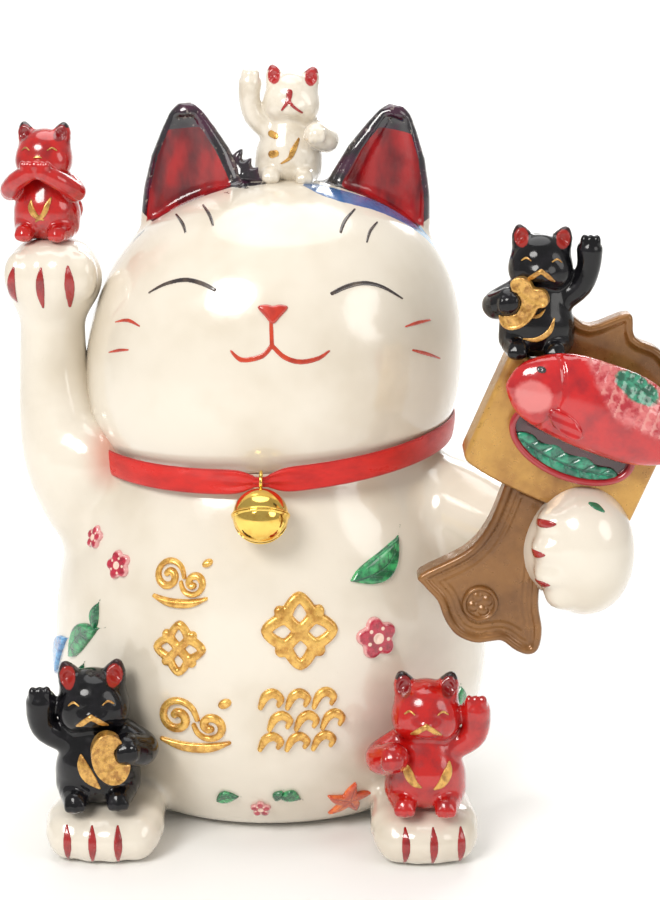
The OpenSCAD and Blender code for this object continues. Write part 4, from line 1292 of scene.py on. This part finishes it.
def bump_at(s, middle, half):
    """A rounded ridge, 1 high, in a height profile."""
    return np.clip(1 - ((s - middle) / half) ** 2, 0, 1)


def handle_distance(x, y, z):
    outline = np.broadcast_to(handle_outline(x, z), np.broadcast(x, y, z).shape)
    s = -outline
    profile = 0.55 * bump_at(s, 0.9, 1.0) + 0.28 * bump_at(s, 2.9, 0.5) + 0.28 * bump_at(s, 4.2, 0.5)
    profile = profile - 0.45 * np.clip((s - 1.6) / 0.8, 0, 1)
    return smooth_max(outline, np.abs(y) - 3.0 - profile, 0.7)


def crest_distance(x, y, z):
    outline = np.broadcast_to(crest_outline(x, z), np.broadcast(x, y, z).shape)
    s = -outline
    profile = 0.3 * bump_at(s, 1.0, 1.0) - 0.35 * np.clip((s - 1.5) / 1.0, 0, 1)
    return smooth_max(outline, np.abs(y - 1.5) - 2.5 - profile, 0.8)


def block_distance(x, y, z):
    """The block, whose lower edge sags in the middle."""
    sag = BLOCK_BOW * np.sqrt(np.clip(1 - (x / BLOCK_HALF[0]) ** 2, 0, 1))
    low = BLOCK_HALF[2] + sag * np.clip(0.5 - z / 12, 0, 1)
    ends = smooth_max(np.abs(x) - BLOCK_HALF[0], (np.abs(z) - low) * 0.95, 1.2)
    return smooth_max(ends, np.abs(y) - BLOCK_HALF[1], 1.2)


handle = Solid(handle_distance, (-18.8, -3.7, -54.0), (15.0, 3.7, -12.4))
crest = Solid(crest_distance, (-15.3, -1.6, 12.4), (17.3, 4.6, 30.6))
charm_block = Solid(block_distance, (-20.8, -5.8, -16.4), (20.8, 5.8, 13.3))
bright_gold = gilded("bright_gold_paint", (0.60, 0.33, 0.075), (0.34, 0.15, 0.032), 0.34, 0.5, 16.0)
# A darker, browner gold for the tail, crest and medallion: the tail's gold paint is browner, and on the crest the
# darker tone is painted shade
brown_gold_with_painted_shade = gilded("brown_gold_and_painted_shade", (0.27, 0.118, 0.028), (0.17, 0.068, 0.014), 0.34, 0.4, 12.0)
for name, solid, step, gold in (("charm_block", charm_block, 0.45, bright_gold),
                                ("charm_tail", handle, 0.36, brown_gold_with_painted_shade), ("charm_crest", crest, 0.36, brown_gold_with_painted_shade)):
    make_piece(name, [surface(Moved(solid, CHARM), step)], "figure", [gold], (name,))
BOSS = (-2.5, -44.0)


def boss_distance(x, y, z):
    du, dv = x - BOSS[0], z - BOSS[1]
    r = np.hypot(du, dv)
    petals = bump_at(np.hypot(np.abs(du) - 1.25, np.abs(dv) - 1.25), 0, 1.35)
    height = 3.1 + 0.75 * bump_at(r, 3.7, 0.7) + 0.6 * petals
    return smooth_max(r - 4.2, np.maximum(-y - height, y + 2.2), 0.4)


boss = Solid(boss_distance, (BOSS[0] - 4.3, -4.2, BOSS[1] - 4.3), (BOSS[0] + 4.3, -2.1, BOSS[1] + 4.3))
make_piece("charm_medallion", [surface(Moved(boss, CHARM), 0.18)], "figure", [brown_gold_with_painted_shade],
           ("charm_boss",))

# The dish on the block's face, its leaf and the sea bream
DISH = (0.4, -0.6)        # its centre on the block, x, z
DISH_A, DISH_B, DISH_T = 15.0, 8.4, 2.6   # half width, half height, thickness
FACE = -BLOCK_HALF[1]


def dish_distance(x, y, z):
    e = flat_oval(DISH, DISH_A, DISH_B)(x, z)
    f = FACE - y
    rim = np.sqrt((e + 0.75) ** 2 + (f - 1.9) ** 2) - 0.72
    wall = smooth_max(smooth_max(e - 0.1 * (f - 2), f - 2.1, 0.4), -f, 0)
    bowl = np.maximum(e + 1.4, 0.7 + 0.02 * e * e - f)
    return smooth_min(smooth_max(wall, -bowl, 0.5), rim, 0.4)


def in_charm(distance):
    """A distance in the charm's frame, as one in the cat's."""
    return Moved(Solid(distance, (-30, -20, -30), (30, 20, 30)), CHARM).at


def rim_mask(x, y, z):
    return -1.55 - flat_oval(DISH, DISH_A, DISH_B)(x, z)


def vein_mask(x, y, z):
    return leaf_veins(x - DISH[0], z - DISH[1])


dish = Solid(dish_distance, (DISH[0] - 15.2, FACE - 2.7, DISH[1] - 8.6),
             (DISH[0] + 15.2, FACE + 0.2, DISH[1] + 8.6))
lacquer = glazed("dark_red_lacquer", (0.07, 0.005, 0.012), (0.03, 0.003, 0.006),
                 [("rim", (0.36, 0.010, 0.016), 0.3, 1.0)], 0.12, 0.01, 4.0)
make_piece("offering_dish", [surface(Moved(dish, CHARM), 0.28, rim=in_charm(rim_mask))], "figure",
           [lacquer], ("offering_dish",))
leaf_outline = flat_outline([(-12.4, -2.6), (-9.0, -1.6), (-6.4, -2.6), (-3.2, -1.4), (0.4, -2.6), (4.0, -1.4),
                             (7.4, -2.6), (10.4, -1.8), (12.6, -2.9), (10.6, -5.2), (6, -6.9), (0, -7.5),
                             (-6, -7.0), (-10.4, -5.4)], 3)
leaf_veins = flat_union(flat_stroke([(-11, -3.6, 0.14), (-4, -4.8, 0.2), (4, -4.8, 0.2), (11.4, -3.4, 0.12)]),
                        *[flat_stroke([(x, -4.6, 0.12), (x + 1.6, -2.4, 0.07)])
                          for x in (-9, -5.6, -2.2, 1.4, 5, 8.4)],
                        *[flat_stroke([(x, -4.8, 0.12), (x + 1.4, -6.6, 0.07)]) for x in (-7, -3.4, 0.2, 3.8, 7)])


def leaf_distance(x, y, z):
    f = FACE - y
    outline = np.broadcast_to(leaf_outline(x - DISH[0], z - DISH[1]), np.broadcast(x, y, z).shape)
    veins = vein_mask(x, y, z)
    height = 1.75 - 0.25 * np.clip(1 - veins / 0.3, 0, 1) + 0.12 * np.sin(x * 1.7)
    return smooth_max(outline, np.maximum(f - height, 0.5 - f), 0.5)


dish_leaf = Solid(leaf_distance, (DISH[0] - 13.2, FACE - 2.1, DISH[1] - 8),
                  (DISH[0] + 13.2, FACE - 0.4, DISH[1] - 0.8))
dish_green = leaf_enamel("dish_leaf_enamel", (0.03, 0.36, 0.20), (0.006, 0.12, 0.07), (0.004, 0.05, 0.035))
make_piece("dish_leaf", [surface(Moved(dish_leaf, CHARM), 0.22, veins=in_charm(vein_mask))], "figure",
           [dish_green], ("dish_leaf",))

BREAM = [(-15.6, 8.6, 3.6), (-12, 9, 7.4), (-6, 10, 9.6), (2, 10.2, 10), (10, 9.6, 8.8), (16, 8.8, 6),
         (21, 8.4, 3.2)]   # x, z, radius
BREAM_FLAT = 0.48         # the fish's depth as a share of its height
BREAM_Y = FACE - DISH_T - 2.2
bream_shape = limb([(x, 0, z, r) for x, z, r in BREAM], 4)


def scale_rows(x, z):
    """Rows of overlapping scales: 0 at a scale's root and 1 at its rounded edge."""
    u, v = (x - 4.0) / 2.3, (z + 0.08 * x) / 2.1
    row = np.floor(u)
    cv = v + 0.5 * (row % 2)
    cv = cv - np.floor(cv) - 0.5
    cu = u - row
    return np.clip(np.hypot(1 - cu, cv * 1.5), 0, 1.2)


def bream_distance(x, y, z):
    px, pz = x - DISH[0], z - DISH[1]
    py = (y - BREAM_Y) / BREAM_FLAT
    body = bream_shape.at(px, py, pz) * 0.62
    scaly = np.clip(0.5 - bream_rear(x, z), 0, 1) * np.clip((19.5 - px) / 2, 0, 1) * np.clip(-py, 0, 1)
    body = body + 0.22 * scaly * np.clip(scale_rows(px, pz) - 0.55, 0, 0.5)
    gill = np.abs(np.hypot(px + 17.5, (pz - 8.0) * 0.8) - 9.6)
    body = body + 0.45 * np.clip(1 - gill / 0.7, 0, 1) * np.clip(-py - 0.5, 0, 1)
    angle = np.arctan2(pz - 8.4, px - 15.0)
    reach = np.hypot(px - 15.0, pz - 8.4)
    fan = smooth_max(reach - (12.6 + 0.9 * np.cos(angle * 3.2)), np.abs(angle) * reach - 0.62 * reach, 0.6)
    blade = np.abs(y - BREAM_Y - 0.2) - (1.15 - 0.03 * reach + 0.22 * np.cos(angle * 26))
    tail = smooth_max(smooth_max(fan, blade, 0.6), 4.5 - reach, 0.5)
    ridge = smooth_max(np.hypot((px - 6.0) / 11.0, (pz - 15.0) / 5.6) * 5.6 - 5.6, np.abs(y - BREAM_Y)
                       - (1.0 + 0.22 * np.cos(px * 2.9)), 0.6)
    mouth = np.sqrt((px + 17.8) ** 2 + (py * 0.5) ** 2 + (pz - 7.4) ** 2) - 1.7
    side_fin = smooth_max(np.hypot((px + 4.6) / 4.4, (pz - 4.6 + 0.25 * (px + 4.6)) / 2.0) * 2.0 - 2.0,
                          np.abs(py + 9.0 + 0.35 * np.cos((pz - 4.6) * 3.2)) * 0.48 - 0.9, 0.4)
    return smooth_min(smooth_min(smooth_min(smooth_min(body, tail, 1.2), ridge, 1.0), mouth, 0.9), side_fin, 0.5)


bream_low = (DISH[0] - 20.2, BREAM_Y - 6.4, DISH[1] - 3.4)
bream_high = (DISH[0] + 28.4, BREAM_Y + 5.0, DISH[1] + 21.4)
bream = Solid(lambda x, y, z: np.maximum(bream_distance(x, y, z), y - (FACE - DISH_T * 0.45)),
              bream_low, bream_high)


def bream_rear(x, z):
    """How far below the paler scaly flank a point on the fish lies."""
    line = np.interp(x - DISH[0], [-7, -0.7, 4.3, 9, 16, 24], [20, 14.2, 10.4, 9.9, 9.6, 5])
    return (line - (z - DISH[1])) * 0.7


bream_masks = {
    "scale_edges": lambda x, y, z: np.maximum(0.80 - scale_rows(x - DISH[0], z - DISH[1]), bream_rear(x, z)),
    "fin": lambda x, y, z: np.hypot((x - DISH[0] - 6.8 - 0.2 * (z - DISH[1] - 17.8)) / 5.6,
                                    (z - DISH[1] - 17.9 + 0.2 * (x - DISH[0] - 6.8)) / 2.6) * 2.6 - 2.6,
    "rear": lambda x, y, z: bream_rear(x, z),
    # a pink painted highlight on the fish's head
    "cheek": lambda x, y, z: np.hypot((x - DISH[0] + 13.6) / 4.0, (z - DISH[1] - 7.4) / 3.6) * 3.8 - 3.8}
bream_masks = {mask: in_charm(distance) for mask, distance in bream_masks.items()}


def bream_enamel():
    paint = Paint("sea_bream_enamel", Coat_Weight=1.0, Coat_Roughness=0.03, Coat_IOR=1.5)
    clouds = paint.remap(paint.noise(7.0, 4, 0.55), 0.40, 0.72)
    tone = paint.mix(clouds, (0.56, 0.008, 0.010), (0.32, 0.004, 0.010))
    rear = paint.mix(paint.remap(paint.noise(2.4, 4, 0.6), 0.38, 0.66), (0.70, 0.20, 0.20), (0.40, 0.025, 0.04))
    tone = paint.mix(paint.math("MULTIPLY", paint.mask("rear", 0.8, 0.8, 2.0), 0.85), tone, rear)
    edges = paint.math("MULTIPLY", paint.mask("scale_edges", 0.12, 0.10, 0.8),
                       paint.remap(paint.noise(4.5, 2), 0.40, 0.58))
    tone = paint.mix(paint.math("MULTIPLY", edges, 0.6), tone, (0.76, 0.34, 0.30))
    # A pink patch on the fish's head: a painted highlight
    tone = paint.mix(paint.math("MULTIPLY", paint.mask("cheek", 0.6, 0.8, 2.0), 0.75), tone, (0.74, 0.22, 0.21))
    green = paint.mix(paint.remap(paint.noise(1.5, 4), 0.4, 0.6), (0.05, 0.28, 0.17), (0.02, 0.10, 0.06))
    tone = paint.mix(paint.mask("fin", 0.3, 0.8, 2.0), tone, green)
    paint.set("Base Color", tone)
    paint.set("Roughness", paint.remap(paint.noise(2.0, 3), 0.3, 0.7, 0.09, 0.22))
    paint.bump(paint.noise(1.2, 3), 0.03)
    return paint.material


make_piece("sea_bream", [surface(Moved(bream, CHARM), 0.30, **bream_masks)], "figure",
           [bream_enamel()], ("sea_bream",))


charm_turn = CHARM.to_3x3().normalized()
eye_facing = Facing(Moved(bream, CHARM), CHARM @ Vector((DISH[0] - 14.4, -18, DISH[1] + 13.6)),
                    charm_turn @ Vector((1, 0, 0)), charm_turn @ Vector((0, -1, 0)))
bream_eye = relief(eye_facing, flat_oval((0, 0), 1.05, 0.7, 15), 1.4, 1.4, 0.4, 0.14, 0.35, 0.4, 3.0)
make_piece("bream_eye", [bream_eye], "figure",
           [brushed("eye_paint", (0.01, 0.01, 0.012), (0.02, 0.02, 0.022))])

# ---------------------------------------------------------------- ribbon

RIBBON = dict(x=1.1, rx=44.1, ry=39.8, half=3.0, thick=0.5)
BELL_X = -0.8
BELL_ANGLE = 270 - math.degrees(math.asin((RIBBON["x"] - BELL_X) / RIBBON["rx"]))


def ribbon_z(angle):
    a = np.radians(angle)
    return 93.4 + 2.8 * np.cos(a) - 2.8 * np.exp(-((angle - 270) / 70) ** 2)


def strip(middle, across, outward_way, half, thick, ripple=None, columns=13):
    """A flat band along rows of points: its width runs along across and its thickness along outward_way."""
    n = len(middle)
    s = np.linspace(-1, 1, columns)
    lift = np.zeros((n, columns)) if ripple is None else ripple
    core = (middle[:, None, :] + across[:, None, :] * (s[None, :, None] * half[:, None, None])
            + outward_way[:, None, :] * lift[:, :, None])
    edge = np.sqrt(np.clip(1 - np.abs(s) ** 8, 0.05, 1))
    up = outward_way[:, None, :] * (edge[None, :, None] * thick / 2)
    points = np.concatenate([core + up, (core - up)[:, ::-1]], axis=1)
    m = 2 * columns
    i, j = np.meshgrid(np.arange(n - 1), np.arange(m), indexing="ij")
    k = (j + 1) % m
    quads = np.stack([i * m + j, i * m + k, (i + 1) * m + k, (i + 1) * m + j], -1).reshape(-1, 4)
    caps = []
    for row in (0, n - 1):
        for c in range(columns - 1):
            quad = [row * m + c, row * m + c + 1, row * m + m - 2 - c, row * m + m - 1 - c]
            caps.append(quad if row else quad[::-1])
    quads = np.vstack([quads, caps])
    steps = np.linalg.norm(np.diff(middle, axis=0), axis=1)
    along = np.concatenate([[0], np.cumsum(steps)])
    values = {"along": np.repeat(along, m), "across": np.tile(np.concatenate([s, s[::-1]]) * 3.0, n)}
    points = points.reshape(-1, 3)
    return points, outward(points, quads), values


def neck_radius(angles, z):
    """How far the neck's surface lies from the ribbon's axis at each bearing and height."""
    t = np.linspace(1.12, 0.80, 321)[:, None]
    c, s = np.cos(np.radians(angles)), np.sin(np.radians(angles))
    x = RIBBON["x"] + RIBBON["rx"] * c * t
    y = RIBBON["ry"] * s * t
    inside = both_eggs.at(x, y, np.broadcast_to(z, x.shape)) < 0
    return t[np.argmax(inside, axis=0), 0]


def collar():
    angles = np.concatenate([np.arange(96, BELL_ANGLE - 24, 1.5), np.arange(BELL_ANGLE - 24, BELL_ANGLE + 24, 0.4),
                             np.arange(BELL_ANGLE + 24, 444.1, 1.5)])
    g = np.exp(-((angles - BELL_ANGLE) / 5) ** 2)
    wide = np.exp(-((angles - BELL_ANGLE) / 11) ** 2)
    half = RIBBON["half"] * (1 - 0.6 * g)
    z = ribbon_z(angles)
    c, s = np.cos(np.radians(angles)), np.sin(np.radians(angles))
    low = neck_radius(angles, z - half)
    high = neck_radius(angles, z + half)
    smooth = np.ones(9) / 9
    low, high = [np.convolve(np.pad(r, 4, mode="edge"), smooth, "valid") for r in (low, high)]
    low = np.maximum(low * (1 - g) + g, 0.985)
    high = np.maximum(high * (1 - g) + g, 0.985)
    radial = np.stack([RIBBON["rx"] * c, RIBBON["ry"] * s, 0 * c], -1)
    lower = radial * low[:, None] + np.stack([0 * z + RIBBON["x"], 0 * z, z - half], -1)
    upper = radial * high[:, None] + np.stack([0 * z + RIBBON["x"], 0 * z, z + half], -1)
    middle = (lower + upper) / 2
    across = (upper - lower) / (2 * half[:, None])
    across = across / np.linalg.norm(across, axis=1)[:, None]
    tangent = np.gradient(middle, axis=0)
    out = np.cross(tangent, across)
    out = out / np.linalg.norm(out, axis=1)[:, None]
    out = out * np.sign((out * radial).sum(1))[:, None]
    columns = 15
    share = np.linspace(-1, 1, columns)[None, :]
    pleat = 0.42 * (wide * (1 - 0.4 * g))[:, None] * np.cos(share * 7.5 + 0.06 * (angles - BELL_ANGLE)[:, None])
    crown = 0.25 * (1 - share ** 2)
    lift = RIBBON["thick"] / 2 + 0.12 + crown + pleat * 0.8 + 0.25 * g[:, None]
    return strip(middle, across, out, half, RIBBON["thick"], lift, columns)


ribbon_satin = satin("red_satin")
make_piece("ribbon_collar", [collar()], "figure", [ribbon_satin], ("ribbon_collar",))
BACK = ribbon_z(90)


def ribbon_tail(side):
    """One end of the ribbon, which hangs down the back and is cut on a slant."""
    t = np.linspace(0, 1, 40)
    z = BACK - 1.5 - 18.5 * t
    x = RIBBON["x"] + side * (1.2 + 4.8 * t ** 0.9)
    depths = np.linspace(60, 30, 400)
    rest = np.array([torso_egg.at(np.full(400, px), depths, np.full(400, pz)) for px, pz in zip(x, z)])
    y = depths[np.argmax(rest < 0, axis=1)] + 1.3 * (1 - t) ** 2 + 0.6 + 0.5 * np.sin(t * 7 + side)
    y = np.convolve(np.pad(y, 3, mode="edge"), np.ones(7) / 7, "valid")
    middle = np.stack([x, y, z], -1)
    turn = np.radians(side * 12 + 10 * np.sin(t * 4))
    across = np.stack([np.cos(turn), 0.15 * side * np.sin(t * 5), np.sin(turn) * 0.4], -1)
    across = across / np.linalg.norm(across, axis=1)[:, None]
    tangent = np.gradient(middle, axis=0)
    out = np.cross(across, tangent)
    out = out / np.linalg.norm(out, axis=1)[:, None]
    out = out * np.sign(out[:, 1])[:, None]
    half = 1.5 + 1.5 * np.clip(t * 4, 0, 1)
    share = np.linspace(-1, 1, 13)[None, :]
    lift = 0.35 * np.cos(share * 5) * (1 - t)[:, None] ** 2
    points, quads, values = strip(middle, across, out, half, RIBBON["thick"], lift)
    slant = np.clip((BACK - 17 - points[:, 2]) / 3, 0, 1)
    points[:, 2] += slant * side * (points[:, 0] - x[-1]) * 0.8
    return points, quads, values


knot_base = Joined((ball((RIBBON["x"], 41.6, BACK), (3.0, 1.9, 2.7)), 0),
                   (ball((RIBBON["x"] - 3.4, 40.9, BACK + 0.2), (2.8, 1.3, 2.5)), 0.8),
                   (ball((RIBBON["x"] + 3.4, 40.9, BACK - 0.2), (2.8, 1.3, 2.5)), 0.8))
knot = Solid(lambda x, y, z: knot_base.at(x, y, z) - 0.16 * np.cos((z - BACK) * 3.4 + 0.35 * (x - 1.1) ** 2),
             knot_base.low - 0.3, knot_base.high + 0.3)
knot_masks = {"along": lambda x, y, z: x * 1.0, "across": lambda x, y, z: np.clip(z - BACK, -2.4, 2.4)}
make_piece("ribbon_knot", [surface(knot, 0.22, **knot_masks), ribbon_tail(-1), ribbon_tail(1)], "figure",
           [ribbon_satin], ("ribbon_knot",))

# ---------------------------------------------------------------- bell

BELL_R, BELL_WALL, BELL_DROP, BELL_LEAN = 6.4, 0.45, 8.3, 32
POLE_GAP = 0.02           # the turned profile stops this far from its axis
PIVOT = (BELL_X, RIBBON["ry"] * math.sin(math.radians(BELL_ANGLE)), float(ribbon_z(BELL_ANGLE)))
BELL = (Matrix.Translation(PIVOT) @ Matrix.Rotation(math.radians(-BELL_LEAN), 4, "X")
        @ Matrix.Translation((0, 0, -BELL_DROP)))


def carried(points, place):
    """Rows of points moved by a matrix."""
    m = np.array(place)
    return points @ m[:3, :3].T + m[:3, 3]


def turned(profile, place, sides=128):
    """A closed outline of r, z turned about z, then carried by a matrix."""
    p = np.asarray(profile, float)
    n = len(p)
    a = np.linspace(0, 2 * math.pi, sides, endpoint=False)
    points = np.stack([np.outer(np.cos(a), p[:, 0]), np.outer(np.sin(a), p[:, 0]),
                       np.tile(p[:, 1], (sides, 1))], -1)
    i, j = np.meshgrid(np.arange(sides), np.arange(n), indexing="ij")
    i2, j2 = (i + 1) % sides, (j + 1) % n
    quads = np.stack([i * n + j, i2 * n + j, i2 * n + j2, i * n + j2], -1).reshape(-1, 4)
    points = carried(points.reshape(-1, 3), place)
    return points, outward(points, quads), {}


def bell_profile():
    """The stamped upper half, from its rolled rim over the crown and back inside."""
    inner = BELL_R - BELL_WALL
    rim = [(inner, 0.02), (BELL_R + 0.15, 0.02), (BELL_R + 0.32, 0.08), (BELL_R + 0.36, 0.2),
           (BELL_R + 0.30, 0.34), (BELL_R + 0.12, 0.42), (BELL_R - 0.02, 0.50)]
    start = math.asin(0.6 / BELL_R)
    end = math.acos(POLE_GAP / BELL_R)
    outer = [(BELL_R * math.cos(a), BELL_R * math.sin(a)) for a in np.linspace(start, end, 36)]
    inside = [(inner * math.cos(a), inner * math.sin(a)) for a in np.linspace(end, 0.05, 30)]
    return rim + outer + inside


brass = polished_brass("polished_brass")
make_piece("bell_upper_half", [turned(bell_profile(), BELL)], "bell", [brass], ("bell_upper_half",))


def lower_bell_distance(x, y, z):
    r = np.sqrt(x * x + y * y + z * z)
    shell = smooth_max(r - BELL_R, (BELL_R - BELL_WALL) - r, 0.12)
    rim = np.hypot(np.hypot(x, y) - BELL_R - 0.05, z + 0.22) - 0.24
    slot = flat_union(flat_stroke([(-4.9, 0, 0.42), (4.9, 0, 0.42)]), flat_oval((-4.9, 0), 0.95, 0.95),
                      flat_oval((4.9, 0), 0.95, 0.95))(x, y)
    shell = smooth_max(shell, -np.maximum(slot, z + 2), 0.15)
    return np.maximum(smooth_min(shell, rim, 0.15), z + 0.02)


lower_bell = Solid(lower_bell_distance, (-6.9, -6.9, -6.5), (6.9, 6.9, 0.0))
bell_points, bell_quads, _ = surface(lower_bell, 0.15)
make_piece("bell_lower_half", [(carried(bell_points, BELL), bell_quads, {})], "bell", [brass],
           ("bell_lower_half",))

LOOP_R, LOOP_WIRE = 2.2, 0.4
loop_profile = [(LOOP_R + LOOP_WIRE * math.cos(a), LOOP_WIRE * math.sin(a)) for a in
                np.linspace(0, 2 * math.pi, 24, endpoint=False)]
loop_place = BELL @ Matrix.Translation((0, 0, BELL_DROP)) @ Matrix.Rotation(math.pi / 2, 4, "Y")
make_piece("bell_loop", [turned(loop_profile, loop_place, 96)], "bell", [brass], ("bell_loop",))

# ---------------------------------------------------------------- CAD parts that stay

for node, material in (("bell_pellet", dull_steel("pellet_steel")),
                       ("base_stopper", moulded_rubber("stopper_rubber"))):
    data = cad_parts[node].data
    data.materials.clear()
    data.materials.append(material)


# ---------------------------------------------------------------- stage and lights

def make_stage():
    mesh = bpy.data.meshes.new("floor")
    half, rise, bend = 1.6, 1.2, 8
    rows = [(-half, 0.0)] + [(0.55 + 0.35 * math.sin(math.pi / 2 * i / bend),
                              0.35 - 0.35 * math.cos(math.pi / 2 * i / bend)) for i in range(bend + 1)]
    rows.append((0.9, rise))
    points = [(x, y, z) for y, z in rows for x in (-half, half)]
    faces = [(2 * i, 2 * i + 1, 2 * i + 3, 2 * i + 2) for i in range(len(rows) - 1)]
    mesh.from_pydata(points, [], faces)
    mesh.polygons.foreach_set("use_smooth", [True] * len(faces))
    floor = bpy.data.objects.new("floor", mesh)
    bpy.context.scene.collection.objects.link(floor)
    paint = Paint("pale_floor", Roughness=0.6, Specular_IOR_Level=0.3)
    mottle = paint.remap(paint.noise(400, 2), 0.3, 0.7)
    paint.set("Base Color", paint.mix(mottle, (0.93, 0.93, 0.92), (0.91, 0.91, 0.90)))
    mesh.materials.append(paint.material)


def softbox(name, place, size, power, colour):
    data = bpy.data.lights.new(name, "AREA")
    data.shape = "ELLIPSE"
    data.size, data.size_y = size
    data.energy = power
    data.color = colour
    lamp = bpy.data.objects.new(name, data)
    lamp.location = place
    lamp.rotation_euler = (Vector(LIGHT_AIM) - Vector(place)).to_track_quat("-Z", "Y").to_euler()
    bpy.context.scene.collection.objects.link(lamp)


WORLD_STRENGTH = 0.44
LIGHT_AIM = (0.015, 0.0, 0.09)
SOFTBOXES = [                # name, place in m, size in m, watts, colour
    ("key", (-0.45, -0.75, 0.75), (0.5, 0.4), 7.4, (1.0, 0.98, 0.95)),
    ("fill", (0.75, -0.55, 0.45), (0.5, 0.5), 1.7, (1.0, 0.98, 0.95)),
    ("top", (0.0, 0.15, 1.0), (0.9, 0.9), 4.4, (1, 1, 1)),
    ("back", (0.3, 0.8, 0.6), (0.6, 0.4), 3, (1, 1, 1))]


def light():
    bpy.context.scene.view_settings.view_transform = "Standard"
    world = bpy.data.worlds.new("studio")
    bpy.context.scene.world = world
    world.use_nodes = True
    world.node_tree.nodes["Background"].inputs["Color"].default_value = (1.0, 0.985, 0.96, 1)
    world.node_tree.nodes["Background"].inputs["Strength"].default_value = WORLD_STRENGTH
    for name, place, size, power, colour in SOFTBOXES:
        softbox(name, place, size, power, colour)


make_stage()
light()
